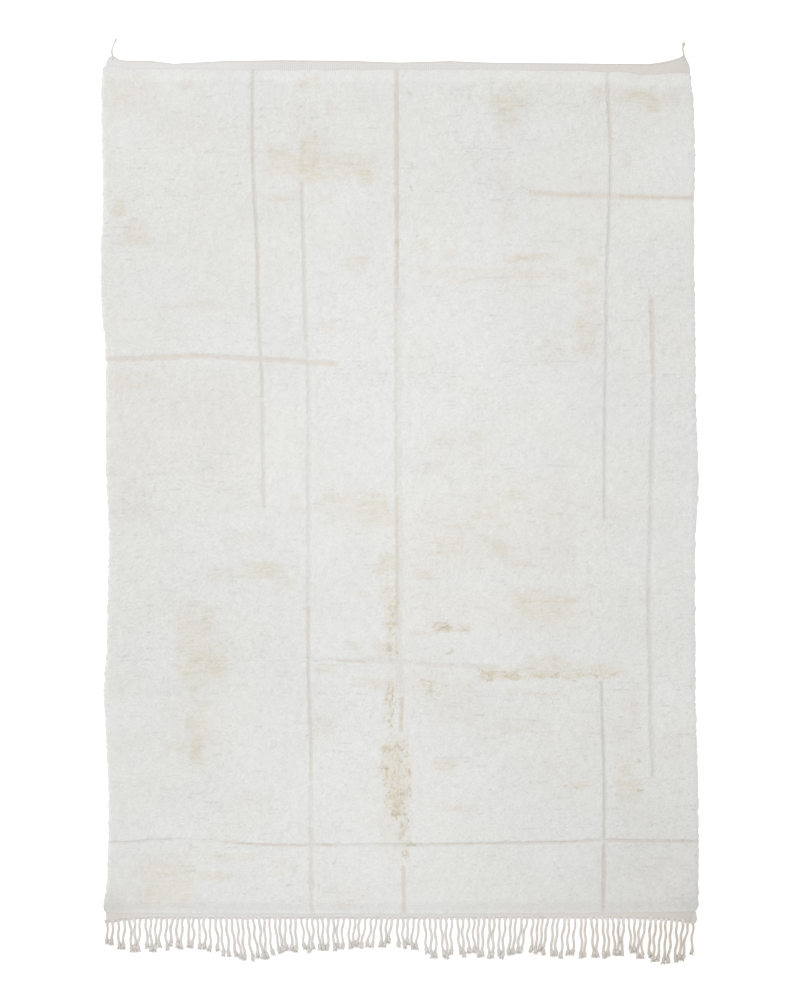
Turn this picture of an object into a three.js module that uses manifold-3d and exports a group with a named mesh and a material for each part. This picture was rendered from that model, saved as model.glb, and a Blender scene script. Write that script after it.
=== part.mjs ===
// A hand-knotted wool pile rug, lying flat and seen as it is used: straight lines are left open in
// the pile, a flat-woven strip finishes each end, and the strip at the bottom carries a fringe.
// Millimetres. X runs across the rug, Y along it towards the plain end, and Z is up.
// The origin is on the underside, in the middle of the pile.

import * as THREE from 'three';
import Module from 'manifold-3d';

const wasm = await Module();
wasm.setup();

// Driving dimensions of the rug
const PILE_WIDTH = 2000;
const PILE_LENGTH = 2860;
const PILE_HEIGHT = 27;
const GROUND_HEIGHT = 8;
const STRIP_HEIGHT = 6.5;
const TOUCH_GAP = 0.3;

// Shape of the pile
const CARVED_FLOOR_HEIGHT = 10;
const CARVED_FLOOR_SHARE = 0.2;
const LINE_END_LENGTH = 14;
const LUMP_HEIGHT = 2;
const LUMP_SPAN = 170;
const PILE_ROUGHNESS = 1.4;
const SHAGGY_ROUGHNESS = 5;
const SHAGGY_DROP = 5;

// Rim of the pile, where the locks hang over the edge of the foundation
const RIM_INSET = 14;
const RIM_DROP = 4;
const CORNER_REACH = 0.8;
const GROUND_INSET = 6;
const LEAST_RIM_HEIGHT = 10;
const LOCK_TIP_HEIGHT = 15;
const LOCK_UNEVENNESS = 2;
const LOCK_SPREAD = 5;
const LOCK_PITCH = 19;
const LOCK_DENT = 5;

// Spacing of the mesh lines
const LARGEST_CELL = 98;
const SMALLEST_CELL = 2.5;
const LEAST_STATION_STEP = 0.01;

// Where the underside's triangles meet, away from the origin
const UNDERSIDE_HUB = [260, 170, 0];

// Fringe
const STRAND_COUNT = 110;
const FRINGE_LEFT = -990;
const FRINGE_RIGHT = 997;
const STRAND_WIDTH = 7;
const STRAND_ROOT_WIDTH = 9;
const STRAND_ROOT_DEPTH = 5;
const STRAND_ROOT_HEIGHT = 5.5;
const CORD_TOP_SHARE = 0.7;
const KNOT_WIDTH = 12.5;
const KNOT_HEIGHT = 12;
const KNOT_LENGTH = 13;
const TUFT_LENGTH = 7;
const TUFT_WIDTH = 9;
const TUFT_END_HEIGHT = 5;
const ROOT_SCATTER = 2;
const TIP_SCATTER = 5;
const LENGTH_SCATTER = 7;
const LEAST_TIP_SPACING = 13.8;
const STRAND_BENDS = [0.3, 0.65, 1];
const STRAND_SWAY = 5;
const SWAY_GROUP = 4;
const SWAY_TURNS = 2;

// Lines that run along the rug: at is a line's usual place across the rug, and course gives
// where it wanders to. The first and last are the long edges, and the others carry carved lines,
// whose width is measured between the tips of the pile.
const LENGTHWISE = {
  leftEdge: {
    at: -PILE_WIDTH / 2,
    course: [
      { y: 1430, x: -1003 }, { y: 1360, x: -1010 }, { y: 1020, x: -1004 }, { y: 720, x: -1012 },
      { y: 420, x: -994 }, { y: 90, x: -994 }, { y: -160, x: -983 }, { y: -500, x: -990 },
      { y: -670, x: -1000 }, { y: -1100, x: -984 }, { y: -1260, x: -987 }, { y: -1430, x: -1001 },
    ],
  },
  leftLine: {
    at: -480,
    width: 15,
    course: [
      { y: 1200, x: -500 }, { y: 700, x: -482 }, { y: 300, x: -466 }, { y: -80, x: -462 },
    ],
  },
  secondLine: {
    at: -310,
    width: 16,
    course: [
      { y: 1050, x: -333 }, { y: 640, x: -324 }, { y: 360, x: -310 }, { y: -600, x: -310 },
      { y: -900, x: -302 }, { y: -1430, x: -300 },
    ],
  },
  middleLine: {
    at: 0,
    width: 24,
    course: [
      { y: 1430, x: -1 }, { y: 170, x: -2 }, { y: -370, x: 3 }, { y: -500, x: -5 },
      { y: -710, x: 8 }, { y: -830, x: 5 }, { y: -1250, x: 13 }, { y: -1430, x: 15 },
    ],
  },
  fourthLine: {
    at: 695,
    width: 13,
    course: [
      { y: 1400, x: 702 }, { y: 1150, x: 713 }, { y: 650, x: 699 }, { y: 170, x: 692 },
      { y: -100, x: 692 }, { y: -600, x: 682 }, { y: -1020, x: 691 }, { y: -1430, x: 688 },
    ],
  },
  rightLine: {
    at: 850,
    width: 15,
    course: [
      { y: 650, x: 851 }, { y: 340, x: 858 }, { y: 0, x: 848 }, { y: -340, x: 841 },
      { y: -700, x: 848 }, { y: -970, x: 856 },
    ],
  },
  rightEdge: {
    at: PILE_WIDTH / 2,
    course: [
      { y: 1430, x: 984 }, { y: 1360, x: 994 }, { y: 1230, x: 1000 }, { y: 430, x: 997 },
      { y: 90, x: 1007 }, { y: -200, x: 997 }, { y: -640, x: 998 }, { y: -1000, x: 1008 },
      { y: -1430, x: 1010 },
    ],
  },
};

// Lines that run across the rug, in the same way, from the bottom end to the top end
const CROSSWISE = {
  bottomEdge: {
    at: -PILE_LENGTH / 2,
    course: [
      { x: -1000, y: -1429 }, { x: -500, y: -1431 }, { x: 0, y: -1432 }, { x: 600, y: -1430 },
      { x: 1000, y: -1425 },
    ],
  },
  lowerLine: {
    at: -1188,
    width: 15,
    course: [
      { x: -960, y: -1189 }, { x: -800, y: -1179 }, { x: -400, y: -1198 }, { x: 0, y: -1197 },
      { x: 540, y: -1188 }, { x: 680, y: -1181 }, { x: 980, y: -1185 },
    ],
  },
  shortLine: {
    at: -585,
    width: 14,
    course: [
      { x: -290, y: -571 }, { x: 0, y: -578 }, { x: 130, y: -590 }, { x: 360, y: -596 },
      { x: 740, y: -622 },
    ],
  },
  upperLine: {
    at: 445,
    width: 18,
    course: [
      { x: -980, y: 448 }, { x: -680, y: 458 }, { x: -490, y: 448 }, { x: -210, y: 432 },
    ],
  },
  cornerLine: {
    at: 1000,
    width: 16,
    course: [
      { x: 430, y: 1010 }, { x: 610, y: 1002 }, { x: 950, y: 994 },
    ],
  },
  topEdge: {
    at: PILE_LENGTH / 2,
    course: [
      { x: -1000, y: 1438 }, { x: -900, y: 1432 }, { x: -300, y: 1430 }, { x: 300, y: 1431 },
      { x: 740, y: 1424 }, { x: 820, y: 1413 }, { x: 1000, y: 1420 },
    ],
  },
};

// Carved stretches: the line each follows, and where it starts and ends. Those that reach an edge
// run on past it.
const CARVED_LENGTHWISE = [
  { line: 'leftLine', from: -75, to: 1440 },
  { line: 'secondLine', from: -1440, to: 1050 },
  { line: 'middleLine', from: -825, to: 1440 },
  { line: 'middleLine', from: -1440, to: -1255 },
  { line: 'fourthLine', from: -80, to: 1440 },
  { line: 'fourthLine', from: -1440, to: -590 },
  { line: 'rightLine', from: -970, to: 670 },
];
const CARVED_CROSSWISE = [
  { line: 'lowerLine', from: -1010, to: 1010 },
  { line: 'shortLine', from: -290, to: 350 },
  { line: 'upperLine', from: -1010, to: -200 },
  { line: 'cornerLine', from: 440, to: 1010 },
];

// Places where the pile is left long and rough
const SHAGGY = [
  { left: -56, right: 40, bottom: -1255, top: -825 },
  { left: 360, right: 750, bottom: -632, top: -598 },
];

// Outer edge of the top strip, from its left corner point to its right one
const TOP_STRIP_EDGE = [
  { x: -996, y: 1452 }, { x: -987, y: 1469 }, { x: -973, y: 1479 }, { x: -966, y: 1473 },
  { x: -951, y: 1463 }, { x: -927, y: 1458 }, { x: -836, y: 1456 }, { x: -765, y: 1447 },
  { x: -600, y: 1456 }, { x: -400, y: 1459 }, { x: -170, y: 1457 }, { x: 0, y: 1451 },
  { x: 170, y: 1456 }, { x: 300, y: 1451 }, { x: 800, y: 1446 }, { x: 850, y: 1446 },
  { x: 896, y: 1453 }, { x: 929, y: 1462 }, { x: 950, y: 1469 }, { x: 964, y: 1479 },
  { x: 972, y: 1466 }, { x: 979, y: 1450 },
];

// Outer edge of the fringe strip, from left to right, with a fold at its right corner
const FRINGE_STRIP_EDGE = [
  { x: -996, y: -1461 }, { x: -975, y: -1460 }, { x: -930, y: -1452 }, { x: -850, y: -1447 },
  { x: 0, y: -1447 }, { x: 750, y: -1446 }, { x: 900, y: -1452 }, { x: 975, y: -1460 },
  { x: 992, y: -1464 }, { x: 1004, y: -1456 },
];
const CORNER_FOLD = [
  { x: 1000, y: -1438, width: 16, height: 9 }, { x: 999, y: -1448, width: 22, height: 12 },
  { x: 996, y: -1460, width: 20, height: 11 }, { x: 993, y: -1466, width: 10, height: 6 },
];

// Fringe by place across the rug: the length of the cords and how far their tips lean
const FRINGE_ZONES = [
  { x: -1000, length: 80, lean: -12 }, { x: -960, length: 86, lean: 2 },
  { x: -915, length: 108, lean: 2 }, { x: -830, length: 104, lean: 0 },
  { x: -780, length: 98, lean: -6 }, { x: -700, length: 96, lean: -4 },
  { x: -640, length: 108, lean: 0 }, { x: -590, length: 134, lean: 14 },
  { x: -460, length: 136, lean: 16 }, { x: -400, length: 102, lean: 10 },
  { x: -240, length: 102, lean: 2 }, { x: -150, length: 98, lean: -8 },
  { x: -60, length: 88, lean: -18 }, { x: 0, length: 90, lean: 0 },
  { x: 70, length: 100, lean: -2 }, { x: 110, length: 132, lean: 8 },
  { x: 240, length: 118, lean: 4 }, { x: 330, length: 126, lean: -6 },
  { x: 430, length: 112, lean: -18 }, { x: 480, length: 108, lean: -4 },
  { x: 590, length: 124, lean: -12 }, { x: 650, length: 118, lean: 4 },
  { x: 740, length: 126, lean: 4 }, { x: 780, length: 110, lean: -4 },
  { x: 850, length: 122, lean: 0 }, { x: 900, length: 140, lean: -14 },
  { x: 960, length: 128, lean: -12 }, { x: 1000, length: 112, lean: -6 },
];

// Corner cords of the top strip: their middle line from root to tip, and their widths and heights
const CORNER_CORDS = [
  [
    { x: -972, y: 1468, width: 8, height: 5 }, { x: -974, y: 1481, width: 5, height: 5 },
    { x: -976, y: 1490, width: 9, height: 8 }, { x: -977, y: 1498, width: 5, height: 5 },
    { x: -972, y: 1513, width: 5, height: 5 }, { x: -966, y: 1524, width: 5, height: 5 },
    { x: -963, y: 1531, width: 9, height: 8 }, { x: -965, y: 1538, width: 4, height: 4 },
  ],
  [
    { x: 964, y: 1468, width: 8, height: 5 }, { x: 965, y: 1482, width: 6, height: 5 },
    { x: 963, y: 1494, width: 6, height: 5 }, { x: 961, y: 1503, width: 6, height: 5 },
    { x: 963, y: 1511, width: 6, height: 5 }, { x: 964, y: 1517, width: 13, height: 11 },
    { x: 963, y: 1524, width: 7, height: 5 },
  ],
];

// Colours from the photo
const PILE_COLOUR = 0xe2e1de;
const STRIP_COLOUR = 0xdbd9d5;
const FRINGE_COLOUR = 0xd8d4cf;
const WOOL_ROUGHNESS = 0.95;

// Repeatable scatter from 0 to 1 for a whole number
const SCATTER = { step: 12.9898, seed: 78.233, stretch: 43758.5453, row: 571 };

function scatter(index, seed) {
  const value = Math.sin(index * SCATTER.step + seed * SCATTER.seed) * SCATTER.stretch;
  return value - Math.floor(value);
}

// Two ways to go from one value to the next
const ease = (share) => share * share * (3 - 2 * share);
const evenly = (share) => share;

// Scatter that changes smoothly along a line or over an area, from -1 to 1
function smoothScatter(along, across, seed) {
  const column = Math.floor(along);
  const row = Math.floor(across);
  const shareX = ease(along - column);
  const shareY = ease(across - row);
  const corner = (i, j) => 2 * scatter((row + j) * SCATTER.row + column + i, seed) - 1;
  const low = THREE.MathUtils.lerp(corner(0, 0), corner(1, 0), shareX);
  const high = THREE.MathUtils.lerp(corner(0, 1), corner(1, 1), shareX);
  return THREE.MathUtils.lerp(low, high, shareY);
}

// Value of one column of a table at a place in another, joined smoothly from row to row
function follow(rows, key, place, wanted, blend = ease) {
  const last = rows.length - 1;
  const rising = rows[last][key] > rows[0][key] ? 1 : -1;
  if ((place - rows[0][key]) * rising <= 0) return rows[0][wanted];
  if ((place - rows[last][key]) * rising >= 0) return rows[last][wanted];
  const after = rows.findIndex((row) => (row[key] - place) * rising > 0);
  const [a, b] = [rows[after - 1], rows[after]];
  return THREE.MathUtils.lerp(a[wanted], b[wanted], blend((place - a[key]) / (b[key] - a[key])));
}

// Shift of a point towards the lines on both sides of it
function wander(lines, place, key, along, wanted) {
  const list = Object.values(lines);
  const shift = (line) => follow(line.course, key, along, wanted) - line.at;
  const above = list.findIndex((line) => line.at >= place);
  if (above <= 0) return shift(above < 0 ? list[list.length - 1] : list[0]);
  const [a, b] = [list[above - 1], list[above]];
  return THREE.MathUtils.lerp(shift(a), shift(b), (place - a.at) / (b.at - a.at));
}

// Real place of a point of the straight plan
function placeOnRug(u, v) {
  return {
    x: u + wander(LENGTHWISE, u, 'y', v, 'x'),
    y: v + wander(CROSSWISE, v, 'x', u, 'y'),
  };
}

// How deep one carved stretch is at a point, from 0 to 1
function carvedShare(stretch, line, across, along) {
  const half = line.width / 2;
  const floor = line.width * CARVED_FLOOR_SHARE;
  const side = THREE.MathUtils.clamp((half - Math.abs(across - line.at)) / (half - floor), 0, 1);
  const inside = Math.min(along - stretch.from, stretch.to - along);
  return side * THREE.MathUtils.clamp(inside / LINE_END_LENGTH, 0, 1);
}

function carvedDepth(u, v) {
  return Math.max(
    ...CARVED_LENGTHWISE.map((stretch) => carvedShare(stretch, LENGTHWISE[stretch.line], u, v)),
    ...CARVED_CROSSWISE.map((stretch) => carvedShare(stretch, CROSSWISE[stretch.line], v, u)),
  );
}

function isShaggy(u, v) {
  return SHAGGY.some((zone) => u > zone.left && u < zone.right && v > zone.bottom && v < zone.top);
}

// Height of the pile over a point of the straight plan, with the point's own roughness
function pileHeight(u, v, number) {
  const lump = LUMP_HEIGHT * smoothScatter(u / LUMP_SPAN, v / LUMP_SPAN, 1);
  const rough = 2 * scatter(number, 2) - 1;
  const top = isShaggy(u, v)
    ? PILE_HEIGHT - SHAGGY_DROP + rough * SHAGGY_ROUGHNESS
    : PILE_HEIGHT + lump + rough * PILE_ROUGHNESS;
  return THREE.MathUtils.lerp(top, CARVED_FLOOR_HEIGHT, carvedDepth(u, v));
}

// Mesh lines in one direction: the lips and floor of each carved line, the ends of the stretches
// that cross this direction, the sides of the rough places, and even steps between them all
function meshLines(half, lines, crossing, roughSides) {
  const carved = Object.values(lines).filter((line) => line.width);
  const needed = [
    -half,
    half,
    ...roughSides,
    ...carved.flatMap(({ at, width }) => [width / 2, width * CARVED_FLOOR_SHARE]
      .flatMap((offset) => [at - offset, at + offset])),
    ...crossing.flatMap(({ from, to }) => [from, from + LINE_END_LENGTH, to - LINE_END_LENGTH, to]),
  ].filter((value) => Math.abs(value) <= half).sort((a, b) => a - b);
  const kept = [];
  for (const value of needed) {
    if (kept.length === 0 || value - kept[kept.length - 1] >= SMALLEST_CELL) kept.push(value);
  }
  return kept.flatMap((value, k) => {
    if (k === kept.length - 1) return [value];
    const gap = kept[k + 1] - value;
    const steps = Math.ceil(gap / LARGEST_CELL);
    return Array.from({ length: steps }, (_, step) => value + (gap * step) / steps);
  });
}

const COLUMNS = meshLines(
  PILE_WIDTH / 2 - RIM_INSET,
  LENGTHWISE,
  CARVED_CROSSWISE,
  SHAGGY.flatMap((zone) => [zone.left, zone.right]),
);
const ROWS = meshLines(
  PILE_LENGTH / 2 - RIM_INSET,
  CROSSWISE,
  CARVED_LENGTHWISE,
  SHAGGY.flatMap((zone) => [zone.bottom, zone.top]),
);

// Round of the grid's border, anticlockwise from above, with the way out from each point
function borderPoints() {
  const right = COLUMNS.length - 1;
  const top = ROWS.length - 1;
  const point = (i, j) => {
    const corner = i % right === 0 && j % top === 0;
    const reach = corner ? CORNER_REACH : 1;
    return {
      u: COLUMNS[i],
      v: ROWS[j],
      outX: i % right === 0 ? Math.sign(i - 1) * reach : 0,
      outY: j % top === 0 ? Math.sign(j - 1) * reach : 0,
      index: j * COLUMNS.length + i,
    };
  };
  const steps = (count, at) => Array.from({ length: count }, (_, k) => at(k));
  return [
    ...steps(right, (k) => point(k, 0)),
    ...steps(top, (k) => point(right, k)),
    ...steps(right, (k) => point(right - k, top)),
    ...steps(top, (k) => point(0, top - k)),
  ];
}

// A point pushed out from the border by a distance, at a height
function pushedOut(point, distance, height) {
  const spot = placeOnRug(point.u + point.outX * distance, point.v + point.outY * distance);
  return [spot.x, spot.y, height];
}

// Border points with more between them, about a lock apart. The place of each border point in
// the longer list is its start.
function lockPoints(border) {
  const list = [];
  const starts = [];
  border.forEach((point, k) => {
    const next = border[(k + 1) % border.length];
    const count = Math.round(Math.hypot(next.u - point.u, next.v - point.v) / LOCK_PITCH);
    starts.push(list.length);
    list.push(point);
    for (let m = 1; m < count; m += 1) {
      list.push({
        u: THREE.MathUtils.lerp(point.u, next.u, m / count),
        v: THREE.MathUtils.lerp(point.v, next.v, m / count),
        outX: Math.sign(point.outX * next.outX) * Math.sign(point.outX),
        outY: Math.sign(point.outY * next.outY) * Math.sign(point.outY),
      });
    }
  });
  return { list, starts };
}

// A lock's tip, which stands out by more or less, and less where a carved line meets the rim
function lockTip(point, number) {
  const carved = carvedDepth(point.u, point.v);
  const reach = LOCK_SPREAD * (2 * scatter(number, 3) - 1) * (1 - carved) - LOCK_DENT * carved;
  const height = THREE.MathUtils.lerp(LOCK_TIP_HEIGHT, LEAST_RIM_HEIGHT, carved);
  return pushedOut(point, RIM_INSET + reach, height + LOCK_UNEVENNESS * scatter(number, 4));
}

// Triangles between a round of few points and one of many. starts gives, for each of the few,
// the first of the many beside it.
function stitch(few, many, starts, fewAbove) {
  const faces = [];
  const face = (a, b, c) => faces.push(fewAbove ? [a, b, c] : [a, c, b]);
  few.forEach((point, k) => {
    const next = few[(k + 1) % few.length];
    const first = starts[k];
    const last = starts[k + 1] ?? many.length;
    const middle = Math.ceil((first + last) / 2);
    for (let m = first; m < middle; m += 1) face(point, many[m], many[(m + 1) % many.length]);
    face(point, many[middle % many.length], next);
    for (let m = middle; m < last; m += 1) face(next, many[m], many[(m + 1) % many.length]);
  });
  return faces;
}

function wall(upper, lower) {
  return upper.flatMap((point, k) => {
    const next = (k + 1) % upper.length;
    return [[lower[k], lower[next], upper[next]], [lower[k], upper[next], point]];
  });
}

function meshGeometry(points, faces) {
  const geometry = new THREE.BufferGeometry();
  geometry.setAttribute('position', new THREE.Float32BufferAttribute(points.flat(), 3));
  geometry.setIndex(faces.flat());
  geometry.computeVertexNormals();
  return geometry;
}

const BORDER = borderPoints();
const FOUNDATION_EDGE = BORDER.map((point) => pushedOut(point, RIM_INSET - GROUND_INSET, 0));
const BOTTOM_FOUNDATION_END = FOUNDATION_EDGE.slice(0, COLUMNS.length);
const TOP_FOUNDATION_END = FOUNDATION_EDGE
  .slice(COLUMNS.length + ROWS.length - 2, 2 * COLUMNS.length + ROWS.length - 2)
  .reverse();

// Pile and foundation as one solid: the top is a grid that follows the carved lines, the rim is
// a round of locks that hang over the edge of the foundation, and the underside is flat
function rugBody() {
  const points = ROWS.flatMap((v, j) => COLUMNS.map((u, i) => {
    const spot = placeOnRug(u, v);
    const onRim = i % (COLUMNS.length - 1) === 0 || j % (ROWS.length - 1) === 0;
    const height = pileHeight(u, v, j * COLUMNS.length + i);
    return [spot.x, spot.y, onRim ? Math.max(height - RIM_DROP, LEAST_RIM_HEIGHT) : height];
  }));
  const faces = [];
  for (let j = 0; j < ROWS.length - 1; j += 1) {
    for (let i = 0; i < COLUMNS.length - 1; i += 1) {
      const near = j * COLUMNS.length + i;
      const far = near + COLUMNS.length;
      faces.push([near, near + 1, far + 1], [near, far + 1, far]);
    }
  }
  const addRound = (spots) => spots.map((spot) => points.push(spot) - 1);
  const { list, starts } = lockPoints(BORDER);
  const borderRound = BORDER.map((point) => point.index);
  const lockRound = addRound(list.map(lockTip));
  const groundTop = addRound(FOUNDATION_EDGE.map(([x, y]) => [x, y, GROUND_HEIGHT]));
  const groundFoot = addRound(FOUNDATION_EDGE);
  const [hub] = addRound([UNDERSIDE_HUB]);
  faces.push(
    ...stitch(borderRound, lockRound, starts, true),
    ...stitch(groundTop, lockRound, starts, false),
    ...wall(groundTop, groundFoot),
    ...groundFoot.map((point, k) => [point, hub, groundFoot[(k + 1) % groundFoot.length]]),
  );
  return meshGeometry(points, faces);
}

// Closed solid through a row of four-cornered sections
function loft(sections) {
  const faces = [[0, 1, 2], [0, 2, 3]];
  for (let s = 0; s < sections.length - 1; s += 1) {
    for (let k = 0; k < 4; k += 1) {
      const a = 4 * s + k;
      const b = 4 * s + ((k + 1) % 4);
      faces.push([a, a + 4, b + 4], [a, b + 4, b]);
    }
  }
  const end = 4 * (sections.length - 1);
  faces.push([end, end + 2, end + 1], [end, end + 3, end + 2]);
  return new wasm.Manifold(new wasm.Mesh({
    numProp: 3,
    vertProperties: new Float32Array(sections.flat(2)),
    triVerts: new Uint32Array(faces.flat()),
  }));
}

// One twisted cord as a four-sided solid that rests level: stations give its middle line, its
// width and its height, and its upper face is narrower than its foot
function cordSolid(stations) {
  return loft(stations.map((station, k) => {
    const before = stations[Math.max(k - 1, 0)];
    const after = stations[Math.min(k + 1, stations.length - 1)];
    const length = Math.hypot(after.x - before.x, after.y - before.y);
    const corner = (share, z) => [
      station.x - ((after.y - before.y) / length) * station.width * share,
      station.y + ((after.x - before.x) / length) * station.width * share,
      z,
    ];
    const top = CORD_TOP_SHARE / 2;
    return [corner(-0.5, 0), corner(-top, station.height), corner(top, station.height), corner(0.5, 0)];
  }));
}

// Flat-woven strip beside one end of the foundation: side is 1 past its top end and -1 past its
// bottom end
function stripSolid(foundationEnd, outerEdge, side) {
  const inner = foundationEnd.map(([x, y]) => ({ x, y: y + side * TOUCH_GAP }));
  const [left, right] = [inner[0].x, inner[inner.length - 1].x];
  const places = [...inner, ...outerEdge]
    .map((row) => row.x)
    .filter((x) => x >= left && x <= right)
    .sort((a, b) => a - b)
    .filter((x, k, all) => k === 0 || x - all[k - 1] > LEAST_STATION_STEP || x === right);
  return loft(places.map((x) => {
    const innerY = follow(inner, 'x', x, 'y', evenly);
    const outerY = follow(outerEdge, 'x', x, 'y', evenly);
    const section = [[x, innerY, 0], [x, innerY, STRIP_HEIGHT], [x, outerY, STRIP_HEIGHT], [x, outerY, 0]];
    return side > 0 ? section : section.reverse();
  }));
}

// Where the cords of the fringe start and end across the rug. A tip keeps clear of the one
// before it.
function fringePlaces() {
  const places = [];
  for (let i = 0; i < STRAND_COUNT; i += 1) {
    const even = THREE.MathUtils.lerp(FRINGE_LEFT, FRINGE_RIGHT, i / (STRAND_COUNT - 1));
    const root = even + ROOT_SCATTER * (2 * scatter(i, 5) - 1);
    const lean = follow(FRINGE_ZONES, 'x', root, 'lean', evenly);
    const wished = root + lean + TIP_SCATTER * (2 * scatter(i, 6) - 1);
    const tip = i === 0 ? wished : Math.max(wished, places[i - 1].tip + LEAST_TIP_SPACING);
    const usual = follow(FRINGE_ZONES, 'x', root, 'length', evenly);
    places.push({ root, tip, length: usual + LENGTH_SCATTER * (2 * scatter(i, 7) - 1) });
  }
  return places;
}

function strandSolid({ root, tip, length }, number) {
  const rootY = follow(FRINGE_STRIP_EDGE, 'x', root, 'y', evenly);
  const station = (distance, width, height) => {
    const share = Math.max(distance, 0) / length;
    const sway = STRAND_SWAY * smoothScatter(number / SWAY_GROUP, SWAY_TURNS * share, 8);
    const x = THREE.MathUtils.lerp(root, tip, share) + sway * Math.sin(Math.PI * share);
    return { x, y: rootY - distance, width, height };
  };
  const knot = length - KNOT_LENGTH - TUFT_LENGTH;
  return cordSolid([
    station(-STRAND_ROOT_DEPTH, STRAND_ROOT_WIDTH, STRAND_ROOT_HEIGHT),
    ...STRAND_BENDS.map((share) => station(knot * share, STRAND_WIDTH, STRAND_WIDTH)),
    station(knot + KNOT_LENGTH / 2, KNOT_WIDTH, KNOT_HEIGHT),
    station(knot + KNOT_LENGTH, STRAND_WIDTH, STRAND_WIDTH),
    station(length, TUFT_WIDTH, TUFT_END_HEIGHT),
  ]);
}

function solidGeometry(solid) {
  const mesh = solid.getMesh();
  const geometry = new THREE.BufferGeometry();
  geometry.setAttribute('position', new THREE.BufferAttribute(mesh.vertProperties, 3));
  geometry.setIndex(new THREE.BufferAttribute(mesh.triVerts, 1));
  geometry.computeVertexNormals();
  return geometry;
}

const join = (solids) => solids.reduce((whole, solid) => whole.add(solid));

function topEndStrip() {
  const strip = stripSolid(TOP_FOUNDATION_END, TOP_STRIP_EDGE, 1);
  return solidGeometry(join([strip, ...CORNER_CORDS.map(cordSolid)]));
}

function fringeStrip() {
  const strip = stripSolid(BOTTOM_FOUNDATION_END, FRINGE_STRIP_EDGE, -1);
  const strands = fringePlaces().map(strandSolid);
  return solidGeometry(join([strip, cordSolid(CORNER_FOLD), ...strands]));
}

function wool(colour) {
  return new THREE.MeshStandardMaterial({
    color: colour, roughness: WOOL_ROUGHNESS, metalness: 0, flatShading: true,
  });
}

function namedMesh(name, geometry, material) {
  const mesh = new THREE.Mesh(geometry, material);
  mesh.name = name;
  return mesh;
}

const rug = new THREE.Group();
rug.add(namedMesh('rug_body', rugBody(), wool(PILE_COLOUR)));
rug.add(namedMesh('top_end_strip', topEndStrip(), wool(STRIP_COLOUR)));
rug.add(namedMesh('fringe_strip', fringeStrip(), wool(FRINGE_COLOUR)));

export default rug;
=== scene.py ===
# A hand-knotted wool pile rug, lying flat on a pale floor and seen from straight above. Straight
# lines are left open in the pile, a flat-woven strip finishes each end, and the strip at the
# bottom carries a fringe of knotted cords.
# Metres. X runs across the rug, Y along it towards the plain end, and Z is up.
#
# A scatter is named as its lowest value, its highest value and its seed. Soft patches are named as
# how much they change, how wide and long they are, and their seed. A seed only tells one from
# another.

import math

import bpy
import numpy as np
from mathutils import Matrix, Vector


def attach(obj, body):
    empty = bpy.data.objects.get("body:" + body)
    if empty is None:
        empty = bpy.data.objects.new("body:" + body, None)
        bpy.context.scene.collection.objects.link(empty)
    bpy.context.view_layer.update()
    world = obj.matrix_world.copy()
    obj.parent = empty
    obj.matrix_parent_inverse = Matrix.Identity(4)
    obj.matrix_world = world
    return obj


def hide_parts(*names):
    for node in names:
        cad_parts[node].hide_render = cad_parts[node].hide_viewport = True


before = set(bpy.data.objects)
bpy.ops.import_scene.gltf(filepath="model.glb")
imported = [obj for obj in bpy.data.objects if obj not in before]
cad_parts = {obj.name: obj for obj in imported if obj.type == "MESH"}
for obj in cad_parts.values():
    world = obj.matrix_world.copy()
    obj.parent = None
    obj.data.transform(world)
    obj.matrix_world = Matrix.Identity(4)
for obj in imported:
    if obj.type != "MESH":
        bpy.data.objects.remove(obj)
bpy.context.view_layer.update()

BODY = "root"

# Size of the pile and how its mesh is spaced
HALF_WIDTH = 1.0
HALF_LENGTH = 1.43
PILE_TOP = 0.027
GROUND_TOP = 0.0065
MESH_STEP = 0.0046
GROOVE_STEPS = (0, 0.2, 0.4, 0.6, 0.85)
RIM_STEPS = (0.12, 0.35)
LEAST_STEP = 0.002

# Carved lines: the depth of their floor, and how their lips and ends are shaped. Each lip waves
# by its own row of the scatter
GROOVE_DEPTH = 0.0056
FLOOR_SHARE = 0.3
SHOULDER_REACH = 2
SHOULDER_DROP = 0.0005
LINE_END = 0.016
LIP_WAVE = (0.22, 0.018, 1, 35)
LIP_ROW = 3
SHALLOW_AT_SIDE = 0.6

# Unevenness of the pile: patches of its height, scatter of its points, and how low it lies where
# it is rough
LUMPS = (0.002, 0.17, 0.17, 1)
DIMPLES = (0.0007, 0.034, 0.034, 11)
POINT_JITTER = (-0.0008, 0.0008, 33)
SHAGGY_DROP = 0.0008

# How much of the tufts' relief shows from place to place, and is lost in carved lines and at ends
USUAL_CALM = 0.925
CALM_PATCHES = (0.225, 0.3, 0.25, 60)
CALM_IN_LINE = 0.75
CALM_AT_END = 0.9

# Tufts of the pile: size, height, the gap between them, where they stand in their cells, their
# shape and tops, how their rows bend, and how far and which way they lean
TUFT_WIDTH = 0.0095
TUFT_LENGTH = 0.0125
TUFT_HEIGHT = 0.0024
TUFT_CREASE = 0.38
TUFT_MIDDLES = (0.08, 0.92, 53)
TUFT_DOME = 0.5
TUFT_TOPS = (0.45, 1, 55)
TUFT_BEND_U = (0.35, 0.021, 0.017, 51)
TUFT_BEND_V = (0.35, 0.017, 0.021, 52)
TUFT_LEAN = 0.0014
QUICK_TURNS = (1.1, 0.06, 0.045, 58)
SLOW_TURNS = (0.6, 0.4, 0.5, 59)

# Short partings between the rows of knots
PARTING_ROW = 0.0135
PARTINGS = (1, 0.045, 1, 57)
PARTING_LEVEL = 0.58
PARTING_FADE = 0.2
PARTING_SHARE = 0.3
PARTING_DEPTH = 0.0024
PARTING_BEND = (0.25, 0.08, 0.08, 56)

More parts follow.
